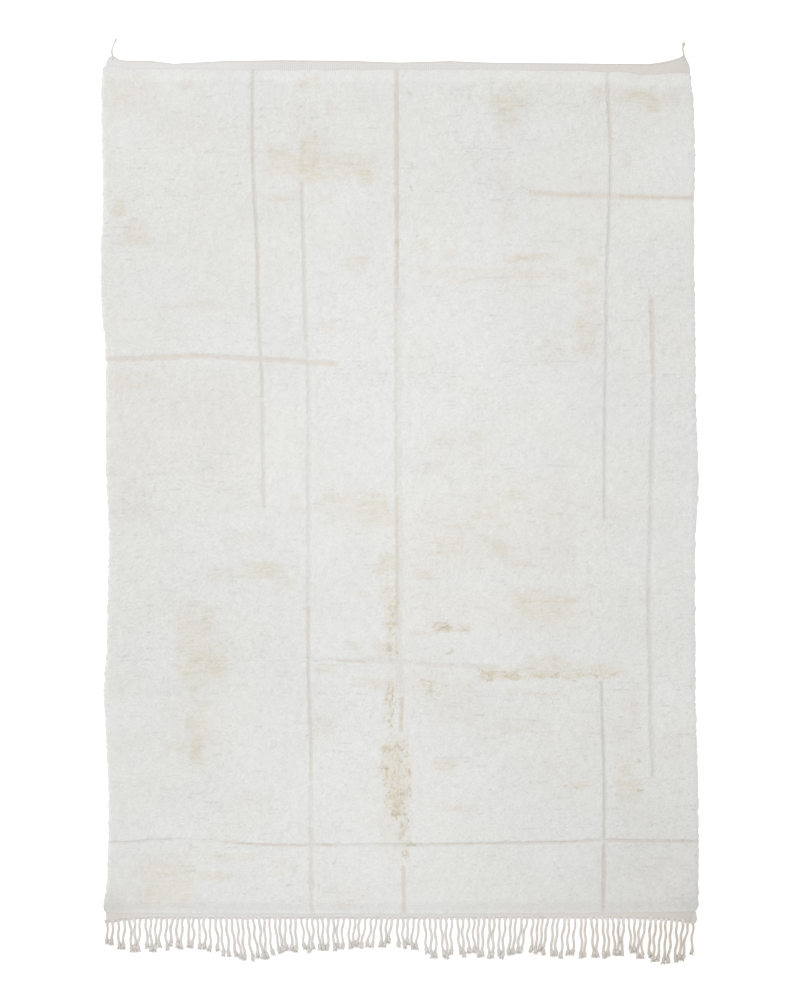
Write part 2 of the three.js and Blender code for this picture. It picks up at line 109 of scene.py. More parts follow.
# The lines that bound each panel of the pile, also past their carved stretches: left, right,
# bottom and top
PANELS = (
    ("left_edge", "second_line", "bottom_edge", "upper_line"),
    ("left_edge", "second_line", "upper_line", "top_edge"),
    ("second_line", "middle_line", "bottom_edge", "top_edge"),
    ("middle_line", "fourth_line", "bottom_edge", "short_line"),
    ("middle_line", "fourth_line", "short_line", "corner_line"),
    ("middle_line", "fourth_line", "corner_line", "top_edge"),
    ("fourth_line", "right_edge", "bottom_edge", "top_edge"))

# Rim of the pile: how far in from its sides and its ends it turns down and by how much, how it
# waves, and the rounds where it turns under: distance inside the outline, height at the ends and
# at the sides
SIDE_ROUND = 0.02
SIDE_DROP = 0.0185
END_ROUND = 0.048
END_DROP = 0.02
CORNER_ROUND = 0.016
SIDE_WAVE = (0.0018, 0.024, 1, 31)
END_WAVE = (0.0018, 0.024, 1, 32)
RIM_TUFTS = (0.0024, 0.0095, 0.012, 38)
UNDER_RIM = ((0.0025, 0.0062, 0.0028), (0.0065, 0.0063, 0.0026), (0.0085, 0.0066, 0.0066))
UNDERSIDE = 0.0066
SEAM_STEP = 0.0001

# Woven foundation: how far inside the pile's outline it ends, its points, skin, ribs and tone
FOUNDATION_INSET = 0.009
FOUNDATION_END_INSET = 0.006
FOUNDATION_POINTS = (100, 40)
FOUNDATION_SKIN = 0.0006
FOUNDATION_RIB = (-0.0004, 0.0004, 41)
FOUNDATION_CREAM = 0.1

# Lines that run along the rug: a line's usual place across it, its width between the tips of the
# pile, its course as places along the rug and across it, and its carved stretches. A stretch is
# where it starts and ends, how deep it is next to the others, how far its soft lips reach next to
# the width, and how golden its floor is
LENGTHWISE = {
    "left_edge": (-HALF_WIDTH, 0, (
        (-1.43, -1.004), (-1.26, -0.99), (-1.1, -0.987), (-0.67, -1.003), (-0.5, -0.993),
        (-0.16, -0.986), (0.09, -0.997), (0.42, -0.997), (0.72, -1.015), (1.02, -1.007),
        (1.36, -1.013), (1.43, -1.006)), ()),
    "left_line": (-0.48, 0.015, (
        (-0.08, -0.459), (0.3, -0.463), (0.7, -0.479), (1.2, -0.497)), (
        (0.3, 1.44, 0.95, 1.15, 0.34), (-0.075, 0.31, 0.74, 1.12, 0.32))),
    "second_line": (-0.31, 0.016, (
        (-1.43, -0.297), (-0.9, -0.299), (-0.6, -0.308), (0.36, -0.306), (0.64, -0.321),
        (1.05, -0.33)), (
        (0.5, 1.05, 0.78, 1.15, 0.36), (-0.4, 0.51, 0.78, 1.38, 0.16),
        (-0.99, -0.39, 0.8, 1.08, 0.46), (-1.13, -0.98, 0.66, 1.15, 0.15),
        (-1.44, -1.12, 0.66, 1.32, 0.36))),
    "middle_edge": (-0.012, 0.012, (
        (-1.43, 0.002), (-0.5, -0.01), (-0.37, -0.006), (0.17, -0.009), (0.6, -0.009),
        (0.8, -0.0055), (1.43, -0.007)), (
        (0.69, 1.44, 0.62, 2.3, 0.64), (-0.01, 0.7, 0.7, 1.5, 0.32), (-0.44, 0, 0.72, 1.6, 0.54))),
    "middle_line": (0, 0.024, (
        (-1.43, 0.016), (-1.25, 0.014), (-0.83, 0.006), (-0.71, 0.009), (-0.5, -0.004),
        (-0.37, 0.004), (0.17, -0.001), (1.43, 0)), (
        (-0.7, 0.7, 0.72, 1.62, 0.16), (-0.825, -0.69, 0.4, 0.72, 0.8),
        (-1.44, -1.255, 0.5, 0.8, 0.65))),
    "fourth_line": (0.695, 0.013, (
        (-1.43, 0.691), (-1.02, 0.694), (-0.6, 0.685), (-0.1, 0.695), (0.17, 0.695), (0.65, 0.702),
        (1.15, 0.716), (1.4, 0.705)), (
        (1.14, 1.44, 0.95, 1.45, 0.34), (-0.08, 1.15, 0.98, 1.2, 0.17), (-1.2, -0.6, 1, 1.08, 0.26),
        (-1.44, -1.19, 1.1, 1.35, 0.42))),
    "right_line": (0.85, 0.015, (
        (-0.97, 0.859), (-0.7, 0.851), (-0.34, 0.844), (0, 0.851), (0.34, 0.861), (0.65, 0.854)), (
        (0.4, 0.67, 0.85, 1.45, 0.5), (-0.97, 0.41, 0.85, 1.3, 0.24))),
    "right_edge": (HALF_WIDTH, 0, (
        (-1.43, 1.015), (-1, 1.014), (-0.64, 1.004), (-0.2, 1.003), (0.09, 1.014), (0.43, 1.004),
        (0.912, 0.999), (1.132, 1.003), (1.223, 1.002), (1.333, 0.997), (1.43, 0.987)), ()),
}

# Lines that run across the rug, in the same way: places across the rug and along it
CROSSWISE = {
    "bottom_edge": (-HALF_LENGTH, 0, (
        (-1, -1.429), (-0.5, -1.431), (0, -1.432), (0.6, -1.43), (1, -1.425)), ()),
    "lower_line": (-1.188, 0.015, (
        (-0.96, -1.189), (-0.8, -1.179), (-0.4, -1.198), (0, -1.197), (0.54, -1.188),
        (0.68, -1.181), (0.98, -1.185)), (
        (-1.01, -0.77, 0.8, 0.8, 0.15), (-0.785, -0.6, 0.5, 1.25, 0.06),
        (-0.62, -0.32, 0.65, 0.8, 0.58), (-0.335, 0.04, 0.95, 0.76, 0.1),
        (-0.285, -0.215, 0.95, 0.76, 0.46), (0.025, 0.69, 0.85, 0.76, 0.34),
        (0.675, 1.01, 0.75, 1.05, 0.38))),
    "short_line": (-0.585, 0.014, (
        (-0.29, -0.571), (0, -0.578), (0.13, -0.59), (0.36, -0.596), (0.74, -0.622)), (
        (-0.29, 0.35, 0.58, 1.6, 0.14), (-0.225, -0.105, 0.55, 1, 0.6))),
    "upper_line": (0.445, 0.018, (
        (-0.98, 0.448), (-0.68, 0.458), (-0.49, 0.448), (-0.21, 0.432)), (
        (-1.01, -0.2, 0.62, 1.5, 0.46),)),
    "corner_line": (1, 0.016, (
        (0.43, 1.01), (0.61, 1.002), (0.95, 0.994)), (
        (0.42, 1.01, 0.34, 2, 0.38), (0.43, 0.66, 0.48, 0.92, 0.64), (0.72, 1.01, 0.52, 0.92, 0.84))),
    "top_edge": (HALF_LENGTH, 0, (
        (-1, 1.446), (-0.96, 1.44), (-0.9, 1.433), (-0.3, 1.43), (0.3, 1.431), (0.74, 1.424),
        (0.82, 1.413), (1, 1.42)), ()),
}

# Places where the pile is left long and rough: left, right, bottom and top
SHAGGY = (
    (-0.064, -0.014, -0.95, -0.84), (-0.016, 0.038, -1.01, -0.84), (-0.058, 0, -1.06, -0.93),
    (-0.038, 0.024, -1.105, -1), (-0.02, 0.018, -1.175, -1.095), (-0.008, 0.027, -1.24, -1.165),
    (-0.046, -0.022, -0.47, -0.365), (-0.04, -0.014, -0.56, -0.52), (-0.046, -0.018, -0.81, -0.64),
    (0.04, 0.137, -0.672, -0.632), (0.105, 0.24, -0.466, -0.446), (0.205, 0.262, -0.662, -0.644),
    (0.27, 0.44, -0.625, -0.603), (0.44, 0.6, -0.612, -0.595), (0.6, 0.755, -0.592, -0.577))
SHAGGY_EDGE_U = (0.014, 0.016, 0.026, 36)
SHAGGY_EDGE_V = (0.014, 0.02, 0.018, 37)

# Softly edged places where the wool is naturally creamier: middle across and along, width,
# length and strength
CREAM_PLACES = (
    (-0.27, 1.1, 0.38, 0.08, 0.45), (-0.3, 1.12, 0.09, 0.16, 0.6), (-0.3, 1.095, 0.07, 0.1, 1),
    (-0.41, 1.14, 0.08, 0.06, 0.62), (-0.2, 1.09, 0.2, 0.05, 0.5),
    (-0.115, 1.068, 0.05, 0.06, 0.75), (-0.33, 1.24, 0.07, 0.14, 0.25),
    (-0.4, 0.995, 0.11, 0.03, 0.5), (-0.26, 0.985, 0.07, 0.03, 0.4),
    (-0.31, 1.385, 0.07, 0.03, 0.42), (-0.72, 1.38, 0.05, 0.03, 0.38),
    (-0.23, 1.29, 0.05, 0.05, 0.32), (-0.9, 1.34, 0.17, 0.12, 0.3),
    (-0.39, -1.27, 0.08, 0.05, 0.26), (0.385, 1.355, 0.07, 0.07, 0.32),
    (0.37, 1.316, 0.11, 0.05, 0.75), (0.364, 1.27, 0.07, 0.06, 0.6),
    (0.345, 1.22, 0.03, 0.08, 0.36), (0.355, 1.05, 0.05, 0.12, 0.25),
    (0.36, 0.94, 0.045, 0.14, 0.3), (0.8, 1.343, 0.14, 0.05, 0.68),
    (0.857, 1.308, 0.05, 0.05, 0.72), (0.915, 1.32, 0.08, 0.08, 0.36),
    (0.667, 1.345, 0.03, 0.05, 0.36), (0.77, 1.115, 0.04, 0.05, 0.28),
    (-0.947, 0.96, 0.045, 0.06, 0.62), (-0.905, 0.868, 0.13, 0.07, 0.42),
    (-0.72, 0.63, 0.21, 0.04, 0.3), (-0.24, 0.56, 0.06, 0.04, 0.4), (-0.14, 0.77, 0.07, 0.05, 0.5),
    (0.07, 0.83, 0.07, 0.05, 0.3), (0.157, 0.8, 0.06, 0.04, 0.42), (0.32, 0.735, 0.55, 0.05, 0.32),
    (0.44, 0.79, 0.15, 0.03, 0.6), (0.51, 0.48, 0.13, 0.12, 0.24), (0.64, 0.775, 0.06, 0.06, 0.42),
    (0.64, 0.685, 0.08, 0.05, 0.56), (0.64, 0.6, 0.05, 0.1, 0.36), (0.64, 0.52, 0.07, 0.13, 0.62),
    (-0.9, 0.37, 0.19, 0.08, 0.35), (-0.9, -0.03, 0.13, 0.15, 0.3), (0.144, 0.16, 0.11, 0.05, 0.38),
    (0.115, 0.08, 0.09, 0.05, 0.42), (0.262, 0.185, 0.05, 0.03, 0.6),
    (-0.24, -0.015, 0.05, 0.05, 0.5), (-0.15, -0.05, 0.25, 0.12, 0.3),
    (-0.085, -0.065, 0.13, 0.1, 0.6), (-0.35, -0.04, 0.05, 0.06, 0.35),
    (0.394, -0.016, 0.07, 0.04, 0.6), (0.3, -0.02, 0.2, 0.03, 0.25),
    (0.266, -0.077, 0.05, 0.03, 0.5), (0.205, -0.123, 0.11, 0.035, 0.5),
    (0.325, -0.12, 0.06, 0.2, 0.4), (0.337, -0.19, 0.06, 0.07, 0.6),
    (0.165, -0.19, 0.12, 0.07, 0.6), (0.413, -0.251, 0.13, 0.03, 0.42),
    (0.31, -0.11, 0.56, 0.34, 0.17), (0.22, 0.11, 0.3, 0.2, 0.14), (0.32, -0.4, 0.62, 0.16, 0.15),
    (-0.72, 0.16, 0.5, 0.5, 0.1), (-0.045, -0.25, 0.07, 0.07, 0.58),
    (0.083, -0.28, 0.06, 0.04, 0.42), (-0.035, -0.44, 0.05, 0.28, 0.45),
    (0.09, -0.48, 0.09, 0.03, 0.42), (0.49, -0.385, 0.19, 0.1, 0.6),
    (0.545, -0.205, 0.08, 0.03, 0.42), (0.54, -0.083, 0.06, 0.02, 0.45),
    (0.42, -0.615, 0.34, 0.05, 0.52), (0.63, -0.602, 0.26, 0.04, 0.52),
    (0.49, -0.575, 0.12, 0.04, 0.42), (0.46, -0.685, 0.17, 0.025, 0.42),
    (0.18, -0.72, 0.16, 0.15, 0.28), (0.775, -0.79, 0.08, 0.22, 0.28),
    (0.41, -0.8, 0.2, 0.03, 0.24), (-0.53, -0.15, 0.16, 0.03, 0.3),
    (-0.58, -0.275, 0.16, 0.04, 0.32), (-0.45, -0.27, 0.14, 0.05, 0.58),
    (-0.4, -0.305, 0.06, 0.06, 0.5), (-0.69, -0.46, 0.15, 0.15, 0.42),
    (-0.65, -0.45, 0.05, 0.1, 0.55), (-0.67, -0.577, 0.16, 0.13, 0.68),
    (-0.682, -0.735, 0.05, 0.19, 0.5), (-0.69, -0.872, 0.05, 0.1, 0.9),
    (-0.76, -0.863, 0.07, 0.04, 0.42), (-0.69, -0.79, 0.17, 0.2, 0.18),
    (-0.245, -0.6, 0.07, 0.03, 0.45), (-0.1, -0.65, 0.13, 0.03, 0.48),
    (-0.155, -0.525, 0.06, 0.03, 0.42), (-0.12, -0.35, 0.06, 0.03, 0.36),
    (-0.25, -0.8, 0.07, 0.09, 0.3), (-0.03, -1.04, 0.09, 0.42, 0.28),
    (0.15, -0.93, 0.08, 0.05, 0.62), (0.615, -0.995, 0.06, 0.025, 0.6),
    (0.2, -1.067, 0.15, 0.03, 0.36), (0.77, -0.985, 0.07, 0.13, 0.6),
    (-0.785, -1.325, 0.18, 0.16, 0.5), (-0.57, -1.24, 0.15, 0.03, 0.42),
    (-0.626, -1.298, 0.12, 0.04, 0.44), (-0.17, -1.362, 0.15, 0.03, 0.36),
    (-0.18, -1.405, 0.08, 0.03, 0.36), (-0.51, -1.04, 0.07, 0.03, 0.26))
CREAM_GAIN = 0.88
CREAM_BLUR = 0.07
STEADY_SPAN = 0.2

# How the edges of the creamy places wander, and how streaks, flecks and tufts break them up
CREAM_WANDER_X = (0.028, 0.045, 0.028, 21)
CREAM_WANDER_Y = (0.0168, 0.06, 0.022, 22)
CREAM_LEVEL = 0.85
CREAM_STREAKS = (0.28, 0.06, 0.022, 23)
CREAM_FLECKS = (0.2, 0.022, 0.009, 24)
CREAM_LIMITS = (0.15, 1.4)
TUFT_CREAM = (0.85, 1.15, 62)

# Broad places where the colour is darker, or lighter where the strength is below zero: middle across
# and along, how far they reach across and along, and strength
DULL_PLACES = (
    (1.05, -1.45, 0.75, 0.7, 0.85), (1.05, 1.45, 0.45, 0.4, 0.35), (-1.05, -1.45, 0.35, 0.3, 0.45),
    (-0.05, 0.1, 0.95, 1.4, -0.72), (-0.2, -1.2, 0.9, 0.8, -0.6), (-1.02, -1.46, 0.15, 0.17, 0.9),
    (1.03, -1.46, 0.15, 0.17, 0.7))
USUAL_DULL = 0.58
MOTTLE = (0.17, 0.13, 0.095, 25)
FINE_MOTTLE = (0.09, 0.045, 0.034, 26)
TUFT_DULL = (0, 0.07, 61)
# Painted shade in the partings between the rows of knots
PARTING_PAINTED_SHADE = 0.25
# Painted shade on the right rim of the pile, where its wool turns down away from the light
RIGHT_RIM_PAINTED_SHADE = 0.9

# Wisps of long wool in the rough places: how they are set out, their directions in upright and
# in level places, their lengths next to the usual, and how they curl
WISP_STEP = 0.009
WISP_SHIFTS = (-0.0063, 0.0063, 63)
WISP_SHARE = 0.5
WISP_SEED = 65
WISP_LEAST_ROUGH = 0.4
UPRIGHT_TURNS = (-0.8, 0.8, 66)
LEVEL_TURNS = (-0.5, 0.5, 66)
LEVEL_SIDES = (0, 1, 67)
WISP_LENGTHS = (0.6, 1.2, 68)
WISP_CURLS = (-0.9, 0.9, 70)

# Strands of a wisp: how they are set out, their size, course over the pile, and tones
WISP_STRANDS = 5
STRAND_SHIFTS = (-0.003, 0.003, 39)
STRAND_SIDES = 4
STRAND_SHAPE = ((0, 0.15), (0.22, 0.8), (0.5, 1), (0.78, 0.65), (1, 0.08))
STRAND_RADII = (0.000525, 0.000875, 71)
STRAND_FLATNESS = 0.7
STRAND_LENGTH = 0.028
STRAND_LENGTHS = (0.8, 1.1, 43)
STRAND_BEND_AT = 0.45
STRAND_TURNS = (-0.18, 0.18, 42)
STRAND_CURLS = (-0.45, 0.45, 44)
STRAND_SINK = 0.001
STRAND_RISES = (0.0014, 0.0024, 69)
STRAND_TIP = 0.0008
STRAND_CREAM = (0, 0.9, 73)
STRAND_DULL = (0, 0.4, 74)
WISP_GOLD = (-0.4, 0.7, 72)

# Loose wisps beside the middle line: places across and along, and direction
LOOSE_WISPS = (
    (0.022, 1.366, -1.2), (-0.029, 1.25, -1.9), (0.039, 1.112, -1.5), (0.036, 1.08, -1.8),
    (0.036, 1.03, -1.4), (-0.02, 1.015, -2), (-0.023, 0.851, -1.3), (-0.02, 0.82, -1.8),
    (0.056, 0.837, -0.6), (0.05, 0.85, 0.5), (0.15, -0.545, 0.3), (0.17, -0.54, 0.1),
    (0.545, -0.992, 0.5), (0.578, -0.984, -0.4), (0.795, -1.003, 0.1), (0.8, -0.888, -0.4),
    (0.775, -0.797, 0), (0.74, -0.735, -0.2), (0.82, -0.96, 0.2), (0.735, -1.01, -1.5))

# Outer edges of the two woven strips, from left to right, as places across and along the rug
TOP_STRIP_EDGE = (
    (-0.996, 1.456), (-0.987, 1.471), (-0.973, 1.481), (-0.966, 1.475), (-0.951, 1.465),
    (-0.927, 1.462), (-0.836, 1.46), (-0.765, 1.451), (-0.6, 1.46), (-0.4, 1.463), (-0.17, 1.461),
    (0, 1.455), (0.17, 1.46), (0.3, 1.455), (0.8, 1.45), (0.85, 1.45), (0.896, 1.457),
    (0.929, 1.464), (0.95, 1.471), (0.964, 1.481), (0.972, 1.468), (0.979, 1.455), (0.986, 1.436))
FRINGE_STRIP_EDGE = (
    (-0.996, -1.461), (-0.975, -1.46), (-0.93, -1.452), (-0.85, -1.447), (0, -1.447),
    (0.75, -1.446), (0.9, -1.452), (0.975, -1.46), (0.992, -1.464), (1.004, -1.456))
STRIP_UNDERLAP = 0.012
STRIP_HEIGHT = 0.0058
STRIP_SLOPE = 0.0012
STRIP_ROWS = 5
STRIP_BOTTOM = 0.0004
RIB_PITCH = 0.0071
RIB_HEIGHT = 0.001
RIB_POINTS = 4
RIB_WOBBLE = (0.0016, 0.07, 1, 81)
RIB_WOBBLE_ROWS = 1.5
RIB_SCALLOP = 0.0009

# Fringe by place across the rug: the length of the cords and how far their tips lean
FRINGE_ZONES = (
    (-1, 0.084, -0.012), (-0.96, 0.09, 0.002), (-0.915, 0.114, 0.002), (-0.83, 0.112, 0),
    (-0.78, 0.107, -0.006), (-0.7, 0.102, -0.004), (-0.64, 0.11, 0), (-0.59, 0.14, 0.014),
    (-0.46, 0.148, 0.016), (-0.4, 0.116, 0.01), (-0.24, 0.115, 0.002), (-0.15, 0.112, -0.008),
    (-0.06, 0.098, -0.018), (0, 0.099, 0), (0.07, 0.11, -0.002), (0.11, 0.146, 0.008),
    (0.24, 0.126, 0.004), (0.33, 0.14, -0.006), (0.43, 0.13, -0.018), (0.48, 0.126, -0.004),
    (0.59, 0.138, -0.012), (0.65, 0.13, 0.004), (0.74, 0.14, 0.004), (0.78, 0.122, -0.004),
    (0.85, 0.142, 0), (0.9, 0.152, -0.014), (0.96, 0.14, -0.012), (1, 0.12, -0.006))
CORD_COUNT = 110
FRINGE_LEFT = -0.99
FRINGE_RIGHT = 0.997
ROOT_SHIFTS = (-0.002, 0.002, 5)
TIP_SHIFTS = (-0.005, 0.005, 6)
LENGTH_CHANGES = (-0.008, 0.008, 7)
CLUMP_SIZES = (1, 2, 2, 3, 3, 4)
CLUMP_SEED = 12
CLUMP_SPACING = 0.011
CLUMP_PULLS = (0.5, 1, 13)
LEAST_TIP_SPACING = 0.01
KNOT_LIFT = 0.0035

# Cords of the fringe: two plies twisted together, swaying and waving, with a knot at the end
CORD_RADIUS = 0.005
CORD_SIZES = (0.92, 1.08, 93)
CORD_STEP = 0.0021
CORD_SIDES = 10
CORD_SINK = 0.98
FLOOR_GAP = 0.0002
PLY_WAIST = 0.58
PLY_TURN = 0.0165
PLY_STARTS = (0, 6, 94)
CORD_SWAY = (0.005, 4, 0.5, 8)
CORD_WAVE = 0.0022
WAVE_LENGTH = 0.07
WAVE_STARTS = (0, 1, 91)
FULL_WAVE_AT = 0.25
ROOT_REACH = 0.007
ROOT_FLARE = 0.0075
ROOT_FLARE_LENGTH = 0.01
FLARE_FLATNESS = 0.25
KNOT_LENGTH = 0.018
KNOT_SHAPE = (
    (0, 0.005), (0.12, 0.0051), (0.32, 0.0077), (0.52, 0.0085), (0.72, 0.0076), (0.88, 0.0058),
    (1, 0.005))
KNOT_SIZES = (0.92, 1.12, 92)
KNOT_FLATNESS = 0.82
KNOT_TURN = 0.011
LIFT_START = 0.6
LIFT_SLOPE = 2.5

# Frayed end of a cord: thin strands that fan out past the knot
FRAY_COUNT = 13
FRAY_ROOM = 0.00875
FRAY_LENGTHS = (0.011475, 0.01585, 96)
FRAY_RADII = (0.001, 0.0011, 0.00045)
FRAY_SIDES = 4
FRAY_SHIFTS = (-0.06, 0.06, 95)
FRAY_FAN = 0.95
FRAY_TURNS = (-0.15, 0.15, 99)
FRAY_WIDTH = 0.0085
FRAY_STARTS = (0.5, 1.3, 97)
FRAY_TIPS = (0.0012, 0.0045, 98)
FRAY_ARCH = 0.0012

# Tones along the strips and the fringe: places across the rug, and how creamy the wool is there, how
# dull it is, or how much painted shade darkens its ribs between their tops
TOP_RIB_PAINTED_SHADE = (
    (-1, 0.2), (-0.58, 0.3), (-0.48, 1.35), (0.27, 1.35), (0.4, 0.8), (1, 0.6))
TOP_STRIP_CREAM = (
    (-1, 0.04), (0.35, 0.08), (0.55, 0.2), (0.75, 0.38), (0.9, 0.26), (1, 0.36))
TOP_STRIP_DULL = (
    (-1, 0), (0.3, 0), (0.45, 0.25), (0.75, 0.45), (0.92, 0.65), (1, 1.1))
FRINGE_RIB_PAINTED_SHADE = ((-1, 0.2), (1, 0.2))
FRINGE_STRIP_CREAM = (
    (-1, 0.42), (-0.95, 0.36), (-0.88, 0.14), (-0.78, 0.08), (0.15, 0.1), (0.51, 0.26),
    (0.76, 0.42), (0.9, 0.56), (1, 0.54))
FRINGE_STRIP_DULL = (
    (-1, 0.5), (-0.95, 0.65), (-0.89, 0.35), (-0.78, 0), (0.15, 0.05), (0.51, 0.35), (0.76, 0.5),
    (0.9, 0.95), (0.975, 1.5), (1, 1.6))
CORD_CREAM = (
    (-1, 0.5), (-0.94, 0.25), (-0.87, 0.08), (-0.5, 0.04), (-0.17, 0), (0.17, 0.02), (0.51, 0.2),
    (0.76, 0.38), (0.91, 0.6), (1, 0.65))
CORD_DULL = (
    (-1, 0.3), (-0.94, 0.1), (-0.87, 0), (0.17, 0), (0.51, 0.12), (0.76, 0.3), (0.91, 0.85),
    (1, 0.95))

# How far out the cords stay as pale as the strips, how the cream changes from run to run, their dark
# specks, and the painted shade on them close to the floor
CORD_PALE_END = 1.455
CORD_PALE_FADE = 0.016
CREAM_RUN = 400
CREAM_RUN_CHANGES = (0, 0.12, 102)
SPECKLE_STATIONS = 3
SPECKLES = (0, 1, 101)
FLOOR_PAINTED_SHADE = 0.5
FLOOR_PAINTED_SHADE_HEIGHT = 0.01

# Corner cords of the top strip: their middle line from root to tip, then radius. The gap is also
# the one under the corner fold
LEFT_CORNER_CORD = (
    (-0.972, 1.464, 0.004), (-0.9735, 1.475, 0.0034), (-0.975, 1.484, 0.003),
    (-0.976, 1.49, 0.0046), (-0.9765, 1.495, 0.003), (-0.975, 1.505, 0.0026),
    (-0.971, 1.515, 0.0026), (-0.966, 1.524, 0.0028), (-0.963, 1.531, 0.0048),
    (-0.964, 1.535, 0.0034), (-0.965, 1.539, 0.002))
RIGHT_CORNER_CORD = (
    (0.964, 1.464, 0.0042), (0.965, 1.475, 0.0034), (0.965, 1.482, 0.0031), (0.963, 1.492, 0.0031),
    (0.961, 1.502, 0.0031), (0.9625, 1.509, 0.0032), (0.964, 1.514, 0.0056), (0.964, 1.519, 0.0062),
    (0.9635, 1.523, 0.0036), (0.963, 1.526, 0.0024))
CORNER_CORD_STEP = 0.00147
CORNER_GAP = 0.0003
CORNER_CORD_TURN = 0.009

# Loose yarn that lies over the fringe near its right end
LOOSE_YARN = (
    (0.748, -1.443, 0.005), (0.75, -1.458, 0.0095), (0.744, -1.472, 0.0098), (0.75, -1.487, 0.0098),
    (0.744, -1.503, 0.0098), (0.751, -1.519, 0.0098), (0.749, -1.535, 0.0098),
    (0.755, -1.549, 0.0098), (0.756, -1.56, 0.008), (0.75, -1.564, 0.006), (0.745, -1.558, 0.005))
LOOSE_YARN_RADIUS = 0.0011
LOOSE_YARN_STEP = 0.002
LOOSE_YARN_TWIST = 1.1

# Fold of the fringe strip at its right corner: middle line, then width and height
CORNER_FOLD = (
    (1.0005, -1.426, 0.01, 0.007), (1, -1.438, 0.017, 0.01), (0.999, -1.448, 0.022, 0.0125),
    (0.996, -1.46, 0.02, 0.0115), (0.993, -1.467, 0.01, 0.006))
FOLD_STEP = 0.0025
FOLD_SIDES = 14
FOLD_WAIST = 0.86
FOLD_CREASE = 0.5
FOLD_CREASE_TURN = 0.9
FOLD_CREAM = 0.54
FOLD_DULL = 1.6

# Repeatable scatter from 0 to 1 for a whole number
SCATTER_STEP = 12.9898
SCATTER_SEED = 78.233
SCATTER_STRETCH = 43758.5453
SCATTER_ROW = 571

# Least length that a direction is divided by
LEAST_LENGTH = 0.000001


def scatter(index, seed):
    value = np.sin(index * SCATTER_STEP + seed * SCATTER_SEED) * SCATTER_STRETCH
    return value - np.floor(value)


def ease(share):
    return share * share * (3 - 2 * share)


def evenly(share):
    return share


def limit(value):
    return np.clip(value, 0, 1)


def mix(low, high, share):
    return low + (high - low) * share


def between(values, index, later=0):
    """Scatter between a lowest and a highest value, by their seed or a later one."""
    low, high, seed = values
    return mix(low, high, scatter(index, seed + later))


def smooth_scatter(along, across, seed):
    """Scatter that changes smoothly over an area, from -1 to 1."""
    column = np.floor(along)
    row = np.floor(across)
    share_x = ease(along - column)
    share_y = ease(across - row)

    def corner(i, j):
        return 2 * scatter((row + j) * SCATTER_ROW + column + i, seed) - 1

    low = mix(corner(0, 0), corner(1, 0), share_x)
    high = mix(corner(0, 1), corner(1, 1), share_x)
    return mix(low, high, share_y)


def patches(u, v, values):
    """Soft patches over the rug, which change a value up and down."""
    change, width, length, seed = values
    return change * smooth_scatter(u / width, v / length, seed)


def segment(keys, place):
    """Number of the key after each place, and how far on it is from the key before."""
    held = np.clip(place, keys[0], keys[-1])
    after = np.clip(np.searchsorted(keys, held, side="right"), 1, len(keys) - 1)
    return after, (held - keys[after - 1]) / (keys[after] - keys[after - 1])


def follow(rows, place, wanted=1, bend=ease):
    """Value of one column of a table at places in its first column, joined from row to row."""
    table = np.array(rows, float)
    values = table[:, wanted]
    after, share = segment(table[:, 0], place)
    return mix(values[after - 1], values[after], bend(share))


def wander(lines, place, along):
    """Shift of points towards the lines on both sides of them."""
    shifts = np.array([follow(line[2], along) - line[0] for line in lines.values()])
    after, share = segment(np.array([line[0] for line in lines.values()]), place)
    low = np.take_along_axis(shifts, (after - 1)[None], 0)[0]
    high = np.take_along_axis(shifts, after[None], 0)[0]
    return mix(low, high, share)


def place_on_rug(u, v):
    """Real places of points of the straight plan."""
    return u + wander(LENGTHWISE, u, v), v + wander(CROSSWISE, v, u)


def stretch_share(across, along, at, half, start, end):
    """How far points are inside one carved stretch, from 0 to 1."""
    half = half * (1 + patches(along, LIP_ROW * np.sign(across - at), LIP_WAVE))
    side = limit((half - np.abs(across - at)) / (half - half * FLOOR_SHARE))
    inside = np.minimum(along - start, end - along)
    return ease(side) * ease(limit(inside / LINE_END))


def carved(u, v, widening=1):
    """Depth of the deepest carved stretch at points, and how golden it is there."""
    depth = np.zeros_like(u)
    gold = np.zeros_like(u)
    for lines, across, along in ((LENGTHWISE, u, v), (CROSSWISE, v, u)):
        for at, width, course, stretches in lines.values():
            for start, end, deep, reach, golden in stretches:
                half = width / 2 * reach * widening
                share = stretch_share(across, along, at, half, start, end)
                depth = np.maximum(depth, share * deep)
                gold = np.maximum(gold, share * golden)
    return depth, gold


def shaggy_share(u, v):
    """1 inside the rough places, falling to 0 just outside them."""
    share = np.zeros_like(u)
    moved_u = u + patches(u, v, SHAGGY_EDGE_U)
    moved_v = v + patches(u, v, SHAGGY_EDGE_V)
    for left, right, bottom, top in SHAGGY:
        across = np.minimum(moved_u - left, right - moved_u)
        along = np.minimum(moved_v - bottom, top - moved_v)
        share = np.maximum(share, limit(np.minimum(across, along) / LINE_END + 0.5))
    return share


def edge_share(place, half, reach):
    """How near points are to an outline, from 0 well inside to 1 at it."""
    return limit(1 - (half - np.abs(place)) / reach)


def rim_shares(u, v):
    """How near points are to the sides and to the ends."""
    return edge_share(u, HALF_WIDTH, SIDE_ROUND), edge_share(v, HALF_LENGTH, END_ROUND)


